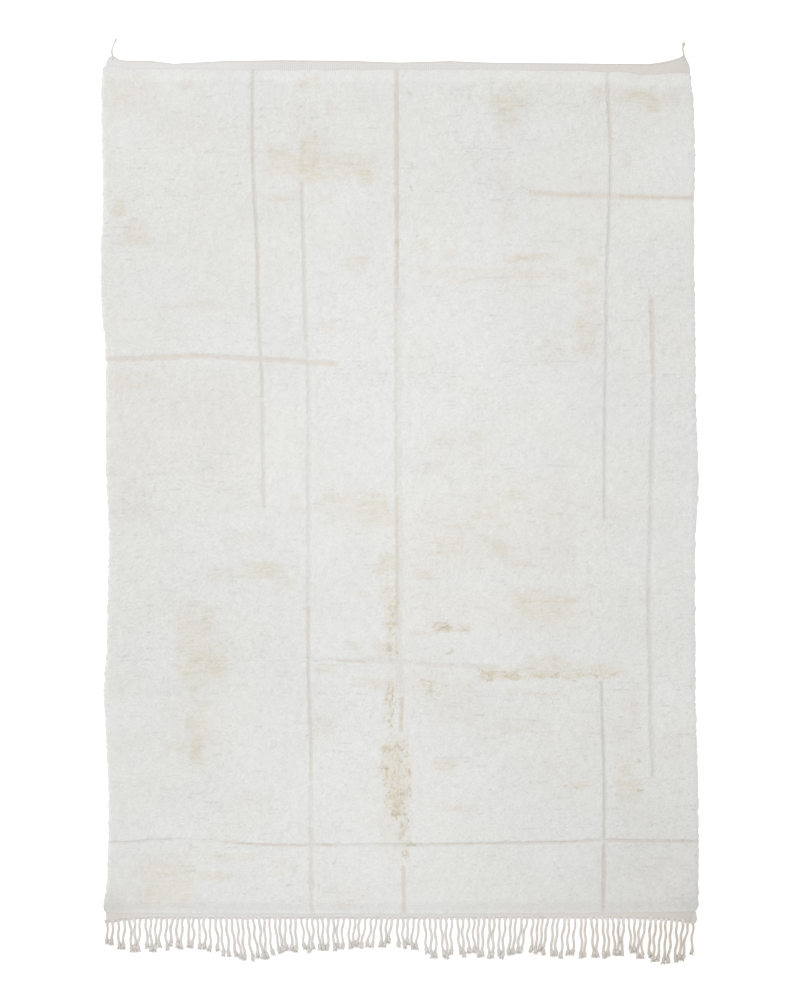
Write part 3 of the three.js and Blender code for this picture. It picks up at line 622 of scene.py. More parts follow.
def tufts(u, v):
    """Relief of the tufts from 0 in the gaps to 1, and a number for the tuft at each point."""
    place_u = u / TUFT_WIDTH + patches(u, v, TUFT_BEND_U)
    place_v = v / TUFT_LENGTH + patches(u, v, TUFT_BEND_V)
    column = np.floor(place_u)
    row = np.floor(place_v)
    nearest = np.full_like(u, np.inf)
    second = np.full_like(u, np.inf)
    owner = np.zeros_like(u)
    for i in (-1, 0, 1):
        for j in (-1, 0, 1):
            number = (row + j) * SCATTER_ROW + column + i
            middle_u = column + i + between(TUFT_MIDDLES, number)
            middle_v = row + j + between(TUFT_MIDDLES, number, 1)
            distance = np.hypot(place_u - middle_u, place_v - middle_v)
            closer = distance < nearest
            second = np.where(closer, nearest, np.minimum(second, distance))
            owner = np.where(closer, number, owner)
            nearest = np.where(closer, distance, nearest)
    crease = ease(limit((second - nearest) / TUFT_CREASE))
    dome = 1 - TUFT_DOME * limit(nearest) ** 2
    return crease * dome * between(TUFT_TOPS, owner), owner


def parting_share(u, v):
    """Where the rows of knots part a little, from 0 to 1."""
    place = v / PARTING_ROW + patches(u, v, PARTING_BEND)
    row = np.floor(place)
    along = patches(u, row, PARTINGS)
    across = limit(1 - np.abs(place - row - 0.5) / PARTING_SHARE)
    return ease(limit((along - PARTING_LEVEL) / PARTING_FADE)) * ease(across)


def pile_height(u, v):
    """Height of the pile over points of the straight plan, without its tufts."""
    depth = carved(u, v)[0]
    shoulder = carved(u, v, SHOULDER_REACH)[0]
    uneven = patches(u, v, LUMPS) + patches(u, v, DIMPLES)
    side, end = rim_shares(u, v)
    top = PILE_TOP + uneven * (1 - end) - SHAGGY_DROP * shaggy_share(u, v)
    carve = (SHOULDER_DROP * shoulder + GROOVE_DEPTH * depth) * (1 - end)
    drop = np.maximum(SIDE_DROP * (1 - np.sqrt(1 - side * side)), END_DROP * ease(end))
    return top - carve * (1 - SHALLOW_AT_SIDE * side) - drop


def tuft_lean(u, v):
    """Direction in which the pile lies: towards the fringe, with turns to either side."""
    turn = patches(u, v, QUICK_TURNS) + patches(u, v, SLOW_TURNS) - math.pi / 2
    return np.cos(turn), np.sin(turn)


def inside_place(offset, size):
    """How far points are inside a softly edged place of a size, by their offset from its middle."""
    return ease(limit((size / 2 - np.abs(offset)) / min(CREAM_BLUR, size / 2) + 0.5))


def cream_share(x, y):
    """How creamy the wool is at real places on the rug."""
    shift_x = patches(x, y, CREAM_WANDER_X)
    shift_y = patches(x, y, CREAM_WANDER_Y)
    total = np.zeros_like(x)
    for centre_x, centre_y, width, length, strength in CREAM_PLACES:
        steady = min(1, max(width, length) / STEADY_SPAN)
        inside = (inside_place(x + steady * shift_x - centre_x, width)
                  * inside_place(y + steady * shift_y - centre_y, length))
        total = np.maximum(total, strength * inside)
    broken = CREAM_LEVEL + patches(x, y, CREAM_STREAKS) + patches(x, y, CREAM_FLECKS)
    return CREAM_GAIN * total * np.clip(broken, *CREAM_LIMITS)


def dull_share(x, y):
    """How much darker the wool's colour is made at real places on the rug."""
    total = np.full_like(x, USUAL_DULL)
    for centre_x, centre_y, reach_x, reach_y, strength in DULL_PLACES:
        away = np.hypot((x - centre_x) / reach_x, (y - centre_y) / reach_y)
        total = total + strength * ease(limit(1 - away))
    return total + patches(x, y, MOTTLE) + patches(x, y, FINE_MOTTLE)


def in_scene(name, data):
    """Object for a mesh, a camera or a light, linked to the scene."""
    made = bpy.data.objects.new(name, data)
    bpy.context.scene.collection.objects.link(made)
    return made


def make_piece(name, points, blocks, material, values):
    """Mesh object from points, blocks of faces with the same number of corners, and values of
    its wool, each one for all points or one for each."""
    mesh = bpy.data.meshes.new(name)
    corners = np.concatenate([np.asarray(block).ravel() for block in blocks])
    sizes = np.concatenate([np.full(len(block), len(block[0])) for block in blocks])
    starts = np.concatenate([[0], np.cumsum(sizes)[:-1]])
    mesh.vertices.add(len(points))
    mesh.vertices.foreach_set("co", np.asarray(points, np.float32).ravel())
    mesh.loops.add(len(corners))
    mesh.loops.foreach_set("vertex_index", corners.astype(np.int32))
    mesh.polygons.add(len(sizes))
    mesh.polygons.foreach_set("loop_start", starts.astype(np.int32))
    mesh.update(calc_edges=True)
    mesh.shade_smooth()
    for key, numbers in values.items():
        layer = mesh.attributes.new(key, "FLOAT", "POINT")
        layer.data.foreach_set("value", np.full(len(points), numbers, np.float32))
    mesh.materials.append(material)
    piece = in_scene(name, mesh)
    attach(piece, BODY)
    return piece


def add_node(tree, kind, values=None, **settings):
    """Shader node with its settings, and values or links for its inputs."""
    made = tree.nodes.new(kind)
    for key, value in settings.items():
        setattr(made, key, value)
    for socket, value in (values or {}).items():
        if isinstance(value, bpy.types.NodeSocket):
            tree.links.new(value, made.inputs[socket])
        else:
            made.inputs[socket].default_value = value
    return made


def scaled(tree, coordinates, scale):
    """Coordinates times a scale for each axis."""
    return add_node(tree, "ShaderNodeMapping", {"Vector": coordinates, "Scale": scale}).outputs[0]


def noise(tree, coordinates, scale, detail=2):
    """Noise from 0 to 1, with its scale for each axis in features a metre."""
    return add_node(tree, "ShaderNodeTexNoise", {
        "Vector": scaled(tree, coordinates, scale), "Scale": 1, "Detail": detail,
        "Roughness": NOISE_ROUGHNESS}).outputs["Fac"]


def remap(tree, value, low, high, to_low, to_high):
    return add_node(tree, "ShaderNodeMapRange", {
        "Value": value, "From Min": low, "From Max": high, "To Min": to_low,
        "To Max": to_high}).outputs["Result"]


def maths(tree, operation, *values, kind="ShaderNodeMath"):
    return add_node(tree, kind, dict(enumerate(values)), operation=operation).outputs[0]


def weighted(tree, parts, total):
    """A total with more values added, each times its weight."""
    for value, weight in parts:
        total = maths(tree, "MULTIPLY_ADD", value, weight, total)
    return total


def blend(tree, share, first, second):
    """Colour between two colours."""
    return add_node(tree, "ShaderNodeMix", {0: share, 6: first, 7: second},
                    data_type="RGBA").outputs[2]


# Wool: scales of its noises in features a metre, and how far fibres swirl out of line
NOISE_ROUGHNESS = 0.6
CLUMP_SCALE = (95, 130, 95)
DRIFT_SCALE = (2.2, 3.1, 2)
GAP_SCALE = (20, 165, 30)
STROKE_SCALE = (290, 120, 150)
YARN_SCALE = (150, 115, 150)
SWIRL_SCALE = 34
SWIRL = 0.022

# Ranges of the noises and what they become: from low and high to low and high
STREAK_RANGE = (0.36, 0.64, 0.5, 1.45)
DRIFT_RANGE = (0.4, 0.75, 0, 0.1)
# Painted shade where the clumps of the bump lie low
CLUMP_PAINTED_SHADE_RANGE = (0.35, 0.65, 0.035, 0)
GAP_RANGE = (0.66, 0.8, 0, 1)
STROKE_RANGE = (0.44, 0.64, 0, 0.66)
YARN_RANGE = (0.15, 0.75, 1, 0)
WEFT_RANGE = (-1, 1, 0, 1)
ROUGHNESS_RANGE = (0.2, 0.8, 0.86, 1)

# Ribs of the ground weave on the floors of the lines, which run across the rug: their pitch, the
# painted shade that darkens them between their tops, and how much lower they are there
WEFT_PITCH = 0.0072
WEFT_PAINTED_SHADE = 0.1
WEFT_LOW = 0.14

# How much the other values darken the wool and raise it, and the bump as a whole
SHADE_DARK = 0.16
FIBRE_HIGH = 0.6
CLUMP_HIGH = 0.7
YARN_HIGH = 0.28
GAP_LOW = 4
BUMP_STRENGTH = 0.7

# Colours that all the wools share, and the constants of their shader
GOLDEN = (0.776, 0.7, 0.603, 1)
ROUGH_GOLD = (0.838, 0.752, 0.585, 1)
SHADOW = (0.34, 0.31, 0.27, 1)
WOOL_CONSTANTS = {"Specular IOR Level": 0.15, "Sheen Weight": 0.25, "Sheen Roughness": 0.6}


def wool_material(name, pale, cream, streak_scale, fibre_scale, relief, parting=0):
    """Wool whose colour goes from pale to cream by the piece's own cream value, in streaks along its
    rows, with fibres in its relief and small partings between the rows, and painted shade in the
    partings, between the weft ribs and where the clumps lie low."""
    material = bpy.data.materials.new(name)
    material.use_nodes = True
    tree = material.node_tree
    shader = tree.nodes["Principled BSDF"]
    place = add_node(tree, "ShaderNodeTexCoord").outputs["Object"]
    creamy, shade, floor, gold, rough = (
        add_node(tree, "ShaderNodeAttribute", attribute_name=key).outputs["Fac"]
        for key in ("cream", "shade", "floor", "gold", "rough"))
    swirl = add_node(tree, "ShaderNodeTexNoise", {
        "Vector": place, "Scale": SWIRL_SCALE, "Detail": 1}).outputs["Color"]
    swirl = maths(tree, "ADD", swirl, (-0.5, -0.5, -0.5), kind="ShaderNodeVectorMath")
    swirled = maths(tree, "MULTIPLY_ADD", swirl, (SWIRL, SWIRL, SWIRL), place,
                    kind="ShaderNodeVectorMath")
    streaks = remap(tree, noise(tree, place, streak_scale, 3), *STREAK_RANGE)
    fibres = noise(tree, swirled, fibre_scale, 4)
    clumps = noise(tree, place, CLUMP_SCALE)
    drift = remap(tree, noise(tree, place, DRIFT_SCALE, 1), *DRIFT_RANGE)
    gaps = remap(tree, noise(tree, place, GAP_SCALE), *GAP_RANGE)
    strokes = remap(tree, noise(tree, swirled, STROKE_SCALE), *STROKE_RANGE)
    cells = add_node(tree, "ShaderNodeTexVoronoi", {
        "Vector": scaled(tree, swirled, YARN_SCALE), "Scale": 1}, voronoi_dimensions="2D")
    yarns = remap(tree, cells.outputs["Distance"], *YARN_RANGE)
    along = add_node(tree, "ShaderNodeSeparateXYZ", {"Vector": place}).outputs["Y"]
    weft = maths(tree, "SINE", maths(tree, "MULTIPLY", along, 2 * math.pi / WEFT_PITCH))
    weft = maths(tree, "MULTIPLY", floor, remap(tree, weft, *WEFT_RANGE))
    colour = blend(tree, maths(tree, "MULTIPLY_ADD", creamy, streaks, drift), pale, cream)
    colour = blend(tree, maths(tree, "MULTIPLY", rough, strokes), colour, ROUGH_GOLD)
    colour = blend(tree, gold, colour, GOLDEN)
    # Darkening by the piece's shade value, and painted shade in the partings, between the weft ribs
    # on line floors and where the clumps lie low
    darker = weighted(tree, ((shade, SHADE_DARK), (gaps, parting), (weft, WEFT_PAINTED_SHADE)),
                      remap(tree, clumps, *CLUMP_PAINTED_SHADE_RANGE))
    bumps = weighted(tree, (
        (fibres, FIBRE_HIGH), (clumps, CLUMP_HIGH), (gaps, -GAP_LOW * parting),
        (yarns, YARN_HIGH), (weft, -WEFT_LOW)), 0)
    bump = add_node(tree, "ShaderNodeBump", {
        "Height": bumps, "Strength": BUMP_STRENGTH, "Distance": relief})
    tree.links.new(blend(tree, darker, colour, SHADOW), shader.inputs["Base Color"])
    tree.links.new(bump.outputs["Normal"], shader.inputs["Normal"])
    tree.links.new(remap(tree, fibres, *ROUGHNESS_RANGE), shader.inputs["Roughness"])
    for key, value in WOOL_CONSTANTS.items():
        shader.inputs[key].default_value = value
    return material


WOOL = wool_material(
    "pile_wool", pale=(0.872, 0.874, 0.856, 1), cream=(0.8, 0.745, 0.62, 1),
    streak_scale=(18, 130, 40), fibre_scale=(620, 170, 300), relief=0.0045, parting=0.03)
STRIP_WOOL = wool_material(
    "flat_woven_wool", pale=(0.774, 0.767, 0.756, 1), cream=(0.73, 0.66, 0.57, 1),
    streak_scale=(60, 700, 60), fibre_scale=(900, 350, 500), relief=0.0008)
WISP_WOOL = wool_material(
    "wisp_wool", pale=(0.885, 0.855, 0.775, 1), cream=(0.845, 0.755, 0.56, 1),
    streak_scale=(90, 90, 90), fibre_scale=(900, 900, 900), relief=0.0003)
CORD_WOOL = wool_material(
    "fringe_wool", pale=(0.765, 0.742, 0.712, 1), cream=(0.68, 0.61, 0.52, 1),
    streak_scale=(70, 70, 70), fibre_scale=(900, 900, 900), relief=0.0006)


def mesh_lines(half, lines, crossing):
    """Places of mesh lines: close together across each carved line, at the ends of the stretches
    that cross this direction, and in even steps between them all."""
    needed = [-half, half]
    for at, width, course, stretches in lines.values():
        if width:
            needed += [at + side * width * step for side in (-1, 1) for step in GROOVE_STEPS]
    for at, width, course, stretches in crossing.values():
        for start, end, *shape in stretches:
            needed += [start, start + LINE_END, end - LINE_END, end]
    needed += [side * (half - SIDE_ROUND * share) for side in (-1, 1) for share in RIM_STEPS]
    kept = []
    for value in sorted(value for value in needed if abs(value) <= half):
        if not kept or value - kept[-1] >= LEAST_STEP:
            kept.append(value)
    places = []
    for start, end in zip(kept, kept[1:]):
        steps = math.ceil((end - start) / MESH_STEP)
        places += [mix(start, end, k / steps) for k in range(steps)]
    return np.array(places + [kept[-1]])


def round_of(rows, columns):
    """Numbers of the points round a grid, anticlockwise from above."""
    numbers = np.arange(rows * columns).reshape(rows, columns)
    return np.concatenate([
        numbers[0, :-1], numbers[:-1, -1], numbers[-1, :0:-1], numbers[:0:-1, 0]])


def grid_quads(rows, columns):
    numbers = np.arange(rows * columns).reshape(rows, columns)
    return np.stack([numbers[:-1, :-1], numbers[:-1, 1:], numbers[1:, 1:], numbers[1:, :-1]],
                    axis=-1).reshape(-1, 4)


def ring_quads(upper, lower):
    """Quads between two rounds of points that run the same way, the first above the second."""
    return np.stack([upper, lower, np.roll(lower, -1), np.roll(upper, -1)], axis=-1)


def closed_sheet(top, bottom, rows, columns):
    """Points and faces of a thin closed sheet between two grids of places."""
    faces = grid_quads(rows, columns)
    edge = round_of(rows, columns)
    blocks = [faces, faces[:, ::-1] + len(top), ring_quads(edge, edge + len(top))]
    return np.concatenate([top, bottom]), blocks


def round_corners(u, v):
    """Plan places near a corner of the pile, drawn in to a round corner."""
    a = edge_share(u, HALF_WIDTH, CORNER_ROUND)
    b = edge_share(v, HALF_LENGTH, CORNER_ROUND)
    return (u - np.sign(u) * CORNER_ROUND * a * (1 - np.sqrt(1 - b ** 2 / 2)),
            v - np.sign(v) * CORNER_ROUND * b * (1 - np.sqrt(1 - a ** 2 / 2)))


def pile_surface(columns, rows):
    """Places of the pile's upper side on a grid of the straight plan, with the tone of its wool:
    creamy, dull, carved, golden and rough shares. The dull share holds painted shade in the partings
    and on the right rim."""
    u, v = np.meshgrid(columns, rows)
    number = np.arange(u.size).reshape(u.shape)
    depth, gold = carved(u, v)
    relief, owner = tufts(u, v)
    side, end = rim_shares(u, v)
    calm = USUAL_CALM + patches(u, v, CALM_PATCHES)
    calm = (1 - CALM_IN_LINE * np.minimum(depth, 1)) * calm * (1 - CALM_AT_END * end)
    parting = parting_share(u, v) * calm
    height = pile_height(u, v) + calm * TUFT_HEIGHT * (relief - 0.5) - PARTING_DEPTH * parting
    x, y = place_on_rug(*round_corners(u, v))
    last_row = edge_share(v, HALF_LENGTH, SIDE_ROUND)
    x = x + np.sign(u) * side * (patches(v, np.sign(u), SIDE_WAVE) + patches(v, u, RIM_TUFTS))
    y = y + np.sign(v) * last_row * patches(u, np.sign(v), END_WAVE)
    push = TUFT_LEAN * calm * relief * (1 - np.maximum(side, last_row))
    lean_x, lean_y = tuft_lean(u, v)
    x = x + push * lean_x + calm * between(POINT_JITTER, number)
    y = y + push * lean_y + calm * between(POINT_JITTER, number, 1)
    # Dull share, with painted shade in the partings and on the right rim
    dull = (dull_share(x, y) + between(TUFT_DULL, owner) + PARTING_PAINTED_SHADE * parting
            + RIGHT_RIM_PAINTED_SHADE * side ** 2 * (u > 0))
    values = {"cream": cream_share(x, y) * between(TUFT_CREAM, owner), "shade": dull,
              "floor": depth, "gold": gold, "rough": shaggy_share(u, v)}
    return np.stack([x, y, height], axis=-1), values


def build_panel(name, columns, rows, surface, values):
    """One closed panel of the pile: its part of the surface, its sides and its underside."""
    u, v = (part.ravel() for part in np.meshgrid(columns, rows))
    points = [surface.reshape(-1, 3)]
    edge = round_of(len(rows), len(columns))
    blocks = [grid_quads(len(rows), len(columns))]
    above = edge
    count = len(u)
    on_outline = ((np.abs(np.abs(u[edge]) - HALF_WIDTH) < LEAST_STEP / 2)
                  | (np.abs(np.abs(v[edge]) - HALF_LENGTH) < LEAST_STEP / 2))
    drawn_u, drawn_v = round_corners(u[edge], v[edge])
    side, end = rim_shares(u[edge], v[edge])
    for number, (inset, end_level, side_level) in enumerate(UNDER_RIM):
        seam_level = UNDERSIDE + SEAM_STEP * (len(UNDER_RIM) - 1 - number)
        level = np.where(on_outline, mix(end_level, side_level, ease(side)), seam_level)
        ring = np.column_stack(place_on_rug(
            drawn_u * (1 - inset / HALF_WIDTH), drawn_v * (1 - inset / HALF_LENGTH)))
        ring = np.where(on_outline[:, None], ring, points[0][edge, :2])
        points.append(np.column_stack([ring, level]))
        below = count + np.arange(len(edge))
        blocks.append(ring_quads(above, below))
        above = below
        count += len(edge)
    points.append(points[-1].mean(axis=0)[None])
    blocks.append(np.stack([np.roll(above, -1), above, np.full(len(above), count)], axis=-1))
    spare = np.zeros(len(edge) * len(UNDER_RIM) + 1)
    values = {key: np.concatenate([value.ravel(), spare]) for key, value in values.items()}
    return make_piece(name, np.concatenate(points), blocks, WOOL, values)


def build_pile():
    """Pile in panels that meet at its lines and are shaded as one surface."""
    columns = mesh_lines(HALF_WIDTH, LENGTHWISE, CROSSWISE)
    rows = mesh_lines(HALF_LENGTH, CROSSWISE, LENGTHWISE)
    surface, values = pile_surface(columns, rows)
    normals = np.cross(np.gradient(surface, axis=1), np.gradient(surface, axis=0))
    normals = normals / np.linalg.norm(normals, axis=-1)[..., None]
    panels = []
    for number, (left, right, bottom, top) in enumerate(PANELS):
        sides = [LENGTHWISE[left][0] - LEAST_STEP / 4, LENGTHWISE[right][0] - LEAST_STEP / 4]
        ends = [CROSSWISE[bottom][0] - LEAST_STEP / 4, CROSSWISE[top][0] - LEAST_STEP / 4]
        first, last = np.searchsorted(columns, sides)
        low, high = np.searchsorted(rows, ends)
        here = (slice(low, high + 1), slice(first, last + 1))
        panel = build_panel(f"pile_panel_{number + 1}", columns[here[1]], rows[here[0]],
                            surface[here], {key: value[here] for key, value in values.items()})
        own = np.array([point.vector for point in panel.data.vertex_normals])
        seamless = normals[here].reshape(-1, 3)
        own[:len(seamless)] = seamless
        panel.data.normals_split_custom_set_from_vertices(own)
        panels.append(panel)
    return panels


def build_ground():
    """Woven foundation under the pile, as a thin closed sheet with ribs on both faces."""
    half_width = HALF_WIDTH - FOUNDATION_INSET
    half_length = HALF_LENGTH - FOUNDATION_END_INSET
    columns = np.linspace(-half_width, half_width, FOUNDATION_POINTS[0])
    rows = np.linspace(-half_length, half_length, FOUNDATION_POINTS[1])
    u, v = (part.ravel() for part in np.meshgrid(columns, rows))
    x, y = place_on_rug(u, v)
    rib = between(FOUNDATION_RIB, np.arange(len(u)) % len(columns))
    top = np.column_stack([x, y, GROUND_TOP - FOUNDATION_SKIN + rib])
    bottom = np.column_stack([x, y, FOUNDATION_SKIN - rib])
    points, blocks = closed_sheet(top, bottom, len(rows), len(columns))
    return make_piece("woven_ground", points, blocks, STRIP_WOOL,
                      {"cream": FOUNDATION_CREAM})


def tube_faces(stations, sides):
    """Quads round one closed tube, and its two ends."""
    number = np.arange(stations * sides).reshape(stations, sides)
    after = np.roll(number, -1, axis=1)
    quads = np.stack([number[:-1], number[1:], after[1:], after[:-1]], axis=-1).reshape(-1, 4)
    return quads, np.stack([number[0], number[-1, ::-1]])


def side_and_up(routes):
    """Directions to the side of routes of places, and up from them."""
    along = np.gradient(routes, axis=-2)
    along = along / np.linalg.norm(along, axis=-1)[..., None]
    side = np.cross(along, (0, 0, 1.0))
    side = side / np.maximum(np.linalg.norm(side, axis=-1), LEAST_LENGTH)[..., None]
    return side, np.cross(side, along)


def strand_mesh(starts, middles, tips, radius):
    """Curved tapering strands of wool. The first three are arrays of places."""
    shares, sizes = np.array(STRAND_SHAPE).T
    shares = shares[None, :, None]
    routes = ((1 - shares) ** 2 * starts[:, None] + 2 * shares * (1 - shares) * middles[:, None]
              + shares ** 2 * tips[:, None])
    side, up = side_and_up(routes)
    angles = np.arange(STRAND_SIDES)[:, None] * 2 * math.pi / STRAND_SIDES
    thick = (radius[:, None] * sizes[None, :])[..., None, None]
    rounds = (np.cos(angles) * side[:, :, None, :]
              + STRAND_FLATNESS * np.sin(angles) * up[:, :, None, :])
    points = (routes[:, :, None, :] + thick * rounds).reshape(-1, 3)
    faces = np.concatenate(tube_faces(len(sizes), STRAND_SIDES))
    start = len(sizes) * STRAND_SIDES * np.arange(len(starts))[:, None, None]
    return points, (start + faces[None]).reshape(-1, 4)


def toward(angle, reach, rise):
    """Steps in directions of the plan, with their rise."""
    rises = np.broadcast_to(rise, angle.shape)
    return np.column_stack([reach * np.cos(angle), reach * np.sin(angle), rises])


def build_wisps():
    """Long golden wisps that tumble over each other in the rough places."""
    found = []
    for left, right, bottom, top in SHAGGY:
        u, v = np.meshgrid(np.arange(left, right, WISP_STEP), np.arange(bottom, top, WISP_STEP))
        upright = np.full(u.size, float(right - left < top - bottom))
        found.append(np.column_stack([u.ravel(), v.ravel(), upright]))
    u, v, upright = np.concatenate(found).T
    wisp = np.arange(len(u))
    u = u + between(WISP_SHIFTS, wisp)
    v = v + between(WISP_SHIFTS, wisp, 1)
    angle = np.where(upright, between(UPRIGHT_TURNS, wisp) - math.pi / 2,
                     between(LEVEL_TURNS, wisp) + math.pi * np.round(between(LEVEL_SIDES, wisp)))
    kept = (scatter(wisp, WISP_SEED) < WISP_SHARE) & (shaggy_share(u, v) > WISP_LEAST_ROUGH)
    wisps = np.concatenate([np.column_stack([u, v, angle])[kept], LOOSE_WISPS])
    wisp = np.repeat(np.arange(len(wisps)), WISP_STRANDS)
    strand = np.arange(len(wisp))
    u, v, angle = wisps[wisp].T
    u = u + between(STRAND_SHIFTS, strand)
    v = v + between(STRAND_SHIFTS, strand, 1)
    angle = angle + between(STRAND_TURNS, strand)
    length = STRAND_LENGTH * between(WISP_LENGTHS, wisp) * between(STRAND_LENGTHS, strand)
    starts = np.column_stack([*place_on_rug(u, v), pile_height(u, v) - STRAND_SINK])
    near = STRAND_BEND_AT * length
    bend = angle + between(WISP_CURLS, wisp) + between(STRAND_CURLS, strand)
    middles = starts + toward(angle, near, between(STRAND_RISES, strand))
    tips = starts + toward(angle, near, 0) + toward(bend, length - near, STRAND_TIP)
    points, faces = strand_mesh(starts, middles, tips, between(STRAND_RADII, strand))
    corner_strand = np.repeat(strand, len(points) // len(strand))
    values = {"cream": between(STRAND_CREAM, corner_strand),
              "shade": between(STRAND_DULL, corner_strand),
              "gold": between(WISP_GOLD, wisp[corner_strand])}
    return make_piece("shaggy_locks", points, [faces], WISP_WOOL, values)


def build_strip(name, side, outline, tones):
    """Flat-woven strip with ribs that run along the rug. It starts a little way under the end of
    the pile and ends at its outline."""
    left, right = outline[0][0], outline[-1][0]
    columns = int((right - left) / RIB_PITCH) * RIB_POINTS + 1
    x, share = (part.ravel() for part in np.meshgrid(
        np.linspace(left, right, columns), np.linspace(0, 1, STRIP_ROWS)))
    inner = (side * (HALF_LENGTH - STRIP_UNDERLAP)
             + wander(CROSSWISE, np.full_like(x, side * HALF_LENGTH), x))
    y = mix(inner, follow(outline, x, bend=evenly), share)
    wobble = patches(x, share * RIB_WOBBLE_ROWS, RIB_WOBBLE)
    rib = np.abs(np.sin(math.pi * (x + wobble) / RIB_PITCH))
    rib_painted_shade, creamy, dull = (follow(table, x) for table in tones)
    before_edge = limit((1 - share) * (STRIP_ROWS - 1))
    height = mix(STRIP_HEIGHT, STRIP_HEIGHT - RIB_HEIGHT * (1 - rib), np.sqrt(before_edge))
    scallop = RIB_SCALLOP * rib * (before_edge == 0)
    top = np.column_stack([x, y + side * scallop, height + STRIP_SLOPE * (1 - share)])
    bottom = np.column_stack([x, y, np.full(len(y), STRIP_BOTTOM)])
    points, blocks = closed_sheet(top, bottom, STRIP_ROWS, columns)
    # Painted shade between the tops of the ribs, where the weave lies lower, added to the strip's
    # dull share
    values = {"cream": np.tile(creamy, 2),
              "shade": np.concatenate([rib_painted_shade * (1 - rib) + dull, dull])}
    return make_piece(name, points, [block[:, ::side] for block in blocks], STRIP_WOOL,
                      values)


def tube(route, wide, high, twist, sides=CORD_SIDES, waist=PLY_WAIST):
    """Closed tube along a route of places: half widths and half heights at each, and the turn of
    its two plies. Returns its points and blocks of faces."""
    route = np.asarray(route, float)
    side, up = side_and_up(route)
    angle = np.linspace(0, 2 * math.pi, sides, endpoint=False)[None, :]
    ply = waist + (1 - waist) * np.abs(np.cos(angle - twist[:, None]))
    across = (wide[:, None] * ply * np.cos(angle))[..., None] * side[:, None, :]
    rising = (high[:, None] * ply * np.sin(angle))[..., None] * up[:, None, :]
    points = (route[:, None, :] + across + rising).reshape(-1, 3)
    return points, tube_faces(len(route), sides)


def joined(parts):
    """One set of points and face blocks from several."""
    starts = np.cumsum([0] + [len(points) for points, blocks in parts])
    blocks = [block + start for start, (points, blocks) in zip(starts, parts) for block in blocks]
    return np.concatenate([points for points, blocks in parts]), blocks


def fringe_places():
    """Where the cords start and end across the rug, how long they are and how far their knots
    are lifted. Neighbours fall together in small clumps."""
    roots = mix(FRINGE_LEFT, FRINGE_RIGHT, np.arange(CORD_COUNT) / (CORD_COUNT - 1))
    roots = roots + between(ROOT_SHIFTS, np.arange(CORD_COUNT))
    places = []
    clump = 0
    while len(places) < CORD_COUNT:
        first = len(places)
        size = CLUMP_SIZES[int(len(CLUMP_SIZES) * scatter(clump, CLUMP_SEED))]
        size = min(size, CORD_COUNT - first)
        members = np.arange(first, first + size)
        root = roots[members]
        wished = root + follow(FRINGE_ZONES, root, 2, evenly) + between(TIP_SHIFTS, members)
        spread = CLUMP_SPACING * (np.arange(size) - (size - 1) / 2)
        drawn = mix(wished, wished.mean() + spread, between(CLUMP_PULLS, clump))
        length = follow(FRINGE_ZONES, root, 1, evenly) + between(LENGTH_CHANGES, members)
        for k in range(size):
            tip = drawn[k]
            if places:
                tip = max(tip, places[-1][1] + LEAST_TIP_SPACING)
            places.append((root[k], tip, length[k], KNOT_LIFT * (k % 2)))
        clump += 1
    return places


def cord_and_knot(number, root, tip, length, lift):
    """One cord of the fringe, from its flared root to its knot and frayed end."""
    root_y = follow(FRINGE_STRIP_EDGE, root, bend=evenly)
    distance = np.arange(-ROOT_REACH, length - FRAY_ROOM, CORD_STEP)
    past_root = np.maximum(distance, 0)
    share = past_root / length
    sway = patches(number, share, CORD_SWAY) * np.sin(math.pi * share)
    wave = np.sin(2 * math.pi * (past_root / WAVE_LENGTH + between(WAVE_STARTS, number)))
    x = mix(root, tip, share) + sway + CORD_WAVE * wave * ease(limit(share / FULL_WAVE_AT))
    knot = (distance - distance[-1]) / KNOT_LENGTH + 1
    swell = np.interp(knot, *zip(*KNOT_SHAPE)) * between(KNOT_SIZES, number)
    radius = np.where(knot > 0, swell, CORD_RADIUS * between(CORD_SIZES, number))
    flare = ROOT_FLARE * limit(1 - past_root / ROOT_FLARE_LENGTH) ** 2
    high = np.where(knot > 0, KNOT_FLATNESS * radius, radius) - FLARE_FLATNESS * flare
    raised = lift * ease(limit(LIFT_SLOPE * (share - LIFT_START)))
    route = np.column_stack([x, root_y - distance, high * CORD_SINK + FLOOR_GAP + raised])
    turns = distance / PLY_TURN + limit(knot) * KNOT_LENGTH / KNOT_TURN
    twist = 2 * math.pi * turns + between(PLY_STARTS, number)
    parts = [tube(route, radius + flare, high, twist)]
    heading = route[-1] - route[-3]
    heading = heading / np.linalg.norm(heading)
    base_angle = math.atan2(heading[1], heading[0])
    thick = np.array(FRAY_RADII)
    for k in range(FRAY_COUNT):
        strand = number * FRAY_COUNT + k
        spread = (k + 0.5) / FRAY_COUNT - 0.5 + between(FRAY_SHIFTS, strand)
        angle = base_angle + FRAY_FAN * spread + between(FRAY_TURNS, strand)
        start = route[-3] + np.array([-heading[1], heading[0], 0]) * spread * FRAY_WIDTH
        start[2] = route[-1][2] * between(FRAY_STARTS, strand)
        reach = between(FRAY_LENGTHS, strand)
        end = start + (reach * math.cos(angle), reach * math.sin(angle), 0)
        end[2] = between(FRAY_TIPS, strand)
        middle = (start + end) / 2 + (0, 0, FRAY_ARCH)
        parts.append(tube([start, middle, end], thick, thick, np.zeros(3), FRAY_SIDES, 1))
    return joined(parts)


def corner_cord(rows, turn):
    """Twisted cord at a corner of the top strip, lying on the floor."""
    table = np.array(rows)
    reach = np.concatenate([[0], np.cumsum(np.linalg.norm(np.diff(table[:, :2], axis=0), axis=1))])
    distance = np.arange(0, reach[-1], CORNER_CORD_STEP)
    x, y, radius = (np.interp(distance, reach, column) for column in table.T)
    route = np.column_stack([x, y, radius + CORNER_GAP])
    return tube(route, radius, radius, 2 * math.pi * distance / CORNER_CORD_TURN + turn)


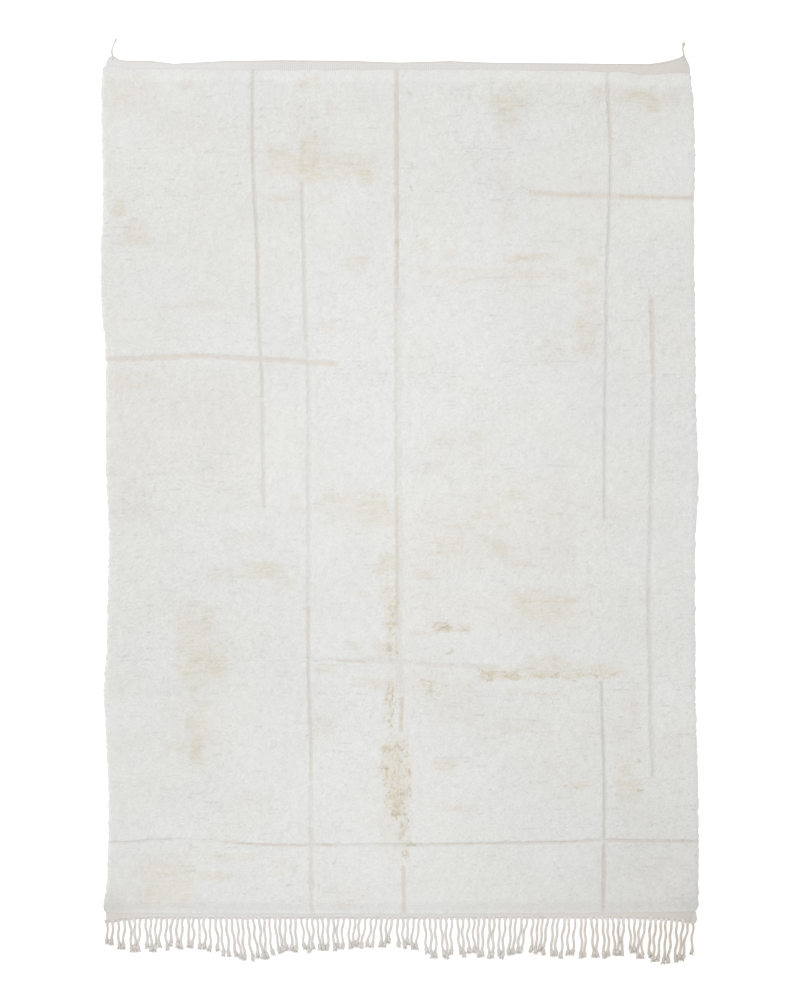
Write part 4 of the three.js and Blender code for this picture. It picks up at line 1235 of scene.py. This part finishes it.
def smooth_route(rows, step):
    """Places close together on a smooth curve through the rows."""
    table = np.array(rows, float)
    padded = np.concatenate([[2 * table[0] - table[1]], table, [2 * table[-1] - table[-2]]])
    places = []
    for k in range(1, len(padded) - 2):
        a, b, c, d = padded[k - 1:k + 3]
        steps = max(2, int(np.linalg.norm(c[:3] - b[:3]) / step))
        for s in np.linspace(0, 1, steps, endpoint=False):
            places.append(0.5 * (2 * b + (c - a) * s + (2 * a - 5 * b + 4 * c - d) * s * s
                                 + (3 * b - a - 3 * c + d) * s ** 3))
    places.append(table[-1])
    return np.array(places)


def cord_piece(name, parts):
    """Cords as one piece: as pale as the strips at their roots, then creamier and speckled, with
    painted shade where they lie close to the floor.
    """
    points, blocks = joined(parts)
    x, y, z = points.T
    number = np.arange(len(points))
    past_root = limit((np.abs(y) - CORD_PALE_END) / CORD_PALE_FADE)
    speckle = between(SPECKLES, number // (SPECKLE_STATIONS * CORD_SIDES)) ** 2
    creamy = follow(CORD_CREAM, x) + between(CREAM_RUN_CHANGES, number // CREAM_RUN)
    # Painted shade on the low parts of the cords, close to the floor
    floor_painted_shade = np.clip(FLOOR_PAINTED_SHADE - z / FLOOR_PAINTED_SHADE_HEIGHT, 0, FLOOR_PAINTED_SHADE)
    values = {"cream": past_root * creamy,
              "shade": past_root * (follow(CORD_DULL, x) + floor_painted_shade + speckle)}
    return make_piece(name, points, blocks, CORD_WOOL, values)


def build_cords():
    cords = [cord_and_knot(number, *place) for number, place in enumerate(fringe_places())]
    half = len(cords) // 2
    route = smooth_route(LOOSE_YARN, LOOSE_YARN_STEP)
    thin = np.full(len(route), LOOSE_YARN_RADIUS)
    yarn = tube(route, thin, thin, np.arange(len(route)) * LOOSE_YARN_TWIST)
    return [
        cord_piece("fringe_cords_left", cords[:half]),
        cord_piece("fringe_cords_right", cords[half:]),
        cord_piece("loose_yarn", [yarn]),
    ]


def build_corner_fold():
    """Fat fold of the strip at the bottom right corner."""
    x, y, width, height = smooth_route(CORNER_FOLD, FOLD_STEP).T
    route = np.column_stack([x, y, height / 2 + CORNER_GAP])
    crease = FOLD_CREASE * np.sin(np.arange(len(x)) * FOLD_CREASE_TURN)
    points, blocks = tube(route, width / 2, height / 2, crease, FOLD_SIDES, FOLD_WAIST)
    return make_piece("corner_fold", points, blocks, STRIP_WOOL,
                      {"cream": FOLD_CREAM, "shade": FOLD_DULL})


def build_rug():
    ground = build_ground()
    panels = build_pile()
    wool_parts = [*panels, build_wisps()]
    top_strip = build_strip("top_strip_weave", 1, TOP_STRIP_EDGE,
                            (TOP_RIB_PAINTED_SHADE, TOP_STRIP_CREAM, TOP_STRIP_DULL))
    corner_cords = cord_piece("corner_cords", [
        corner_cord(LEFT_CORNER_CORD, 0), corner_cord(RIGHT_CORNER_CORD, 1)])
    fringe_strip = build_strip("fringe_strip_weave", -1, FRINGE_STRIP_EDGE,
                               (FRINGE_RIB_PAINTED_SHADE, FRINGE_STRIP_CREAM, FRINGE_STRIP_DULL))
    fringe_parts = [*build_cords(), build_corner_fold()]
    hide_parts("rug_body")
    for panel in panels:
        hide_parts("rug_body")
    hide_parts("top_end_strip")
    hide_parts("fringe_strip")


# Camera straight above, far away, so that 3.385 m of floor fill the picture's height
VIEW_CENTRE = Vector((0.0017, -0.029, 0))
VIEW_HEIGHT = 3.385
LENS = 100
FILM = 36
FARTHEST = 100


def build_camera():
    data = bpy.data.cameras.new("camera")
    data.lens = LENS
    data.sensor_width = FILM
    data.clip_end = FARTHEST
    camera = in_scene("camera", data)
    camera.location = VIEW_CENTRE + Vector((0, 0, VIEW_HEIGHT * LENS / FILM + PILE_TOP))
    bpy.context.scene.camera = camera


# Pale floor, an even sky and a soft main light from the upper left
FLOOR_HALF = 15
FLOOR_SHADER = {"Base Color": (0.9, 0.9, 0.9, 1), "Roughness": 1, "Specular IOR Level": 0,
                "Emission Color": (1, 1, 1, 1), "Emission Strength": 0.42}
LAMP_PLACE = (-3.6, 3.2, 7)
LAMP_SIZE = 3
LAMP_POWER = 114
SKY_STRENGTH = 0.873


def build_studio():
    material = bpy.data.materials.new("floor")
    material.use_nodes = True
    shader = material.node_tree.nodes["Principled BSDF"]
    for key, value in FLOOR_SHADER.items():
        shader.inputs[key].default_value = value
    mesh = bpy.data.meshes.new("floor")
    mesh.from_pydata([(x * FLOOR_HALF, y * FLOOR_HALF, 0)
                      for x, y in ((-1, -1), (1, -1), (1, 1), (-1, 1))], [], [(0, 1, 2, 3)])
    mesh.materials.append(material)
    floor = in_scene("floor", mesh)
    world = bpy.data.worlds.new("sky")
    world.use_nodes = True
    sky = world.node_tree.nodes["Background"]
    sky.inputs["Color"].default_value = (1, 1, 1, 1)
    sky.inputs["Strength"].default_value = SKY_STRENGTH
    bpy.context.scene.world = world
    light = bpy.data.lights.new("main_light", "AREA")
    light.energy = LAMP_POWER
    light.size = LAMP_SIZE
    lamp = in_scene("main_light", light)
    lamp.location = LAMP_PLACE
    lamp.rotation_euler = (-Vector(LAMP_PLACE)).to_track_quat("-Z", "Y").to_euler()
    settings = bpy.context.scene.view_settings
    settings.view_transform = "Standard"
    settings.look = "None"


build_camera()
build_studio()
build_rug()
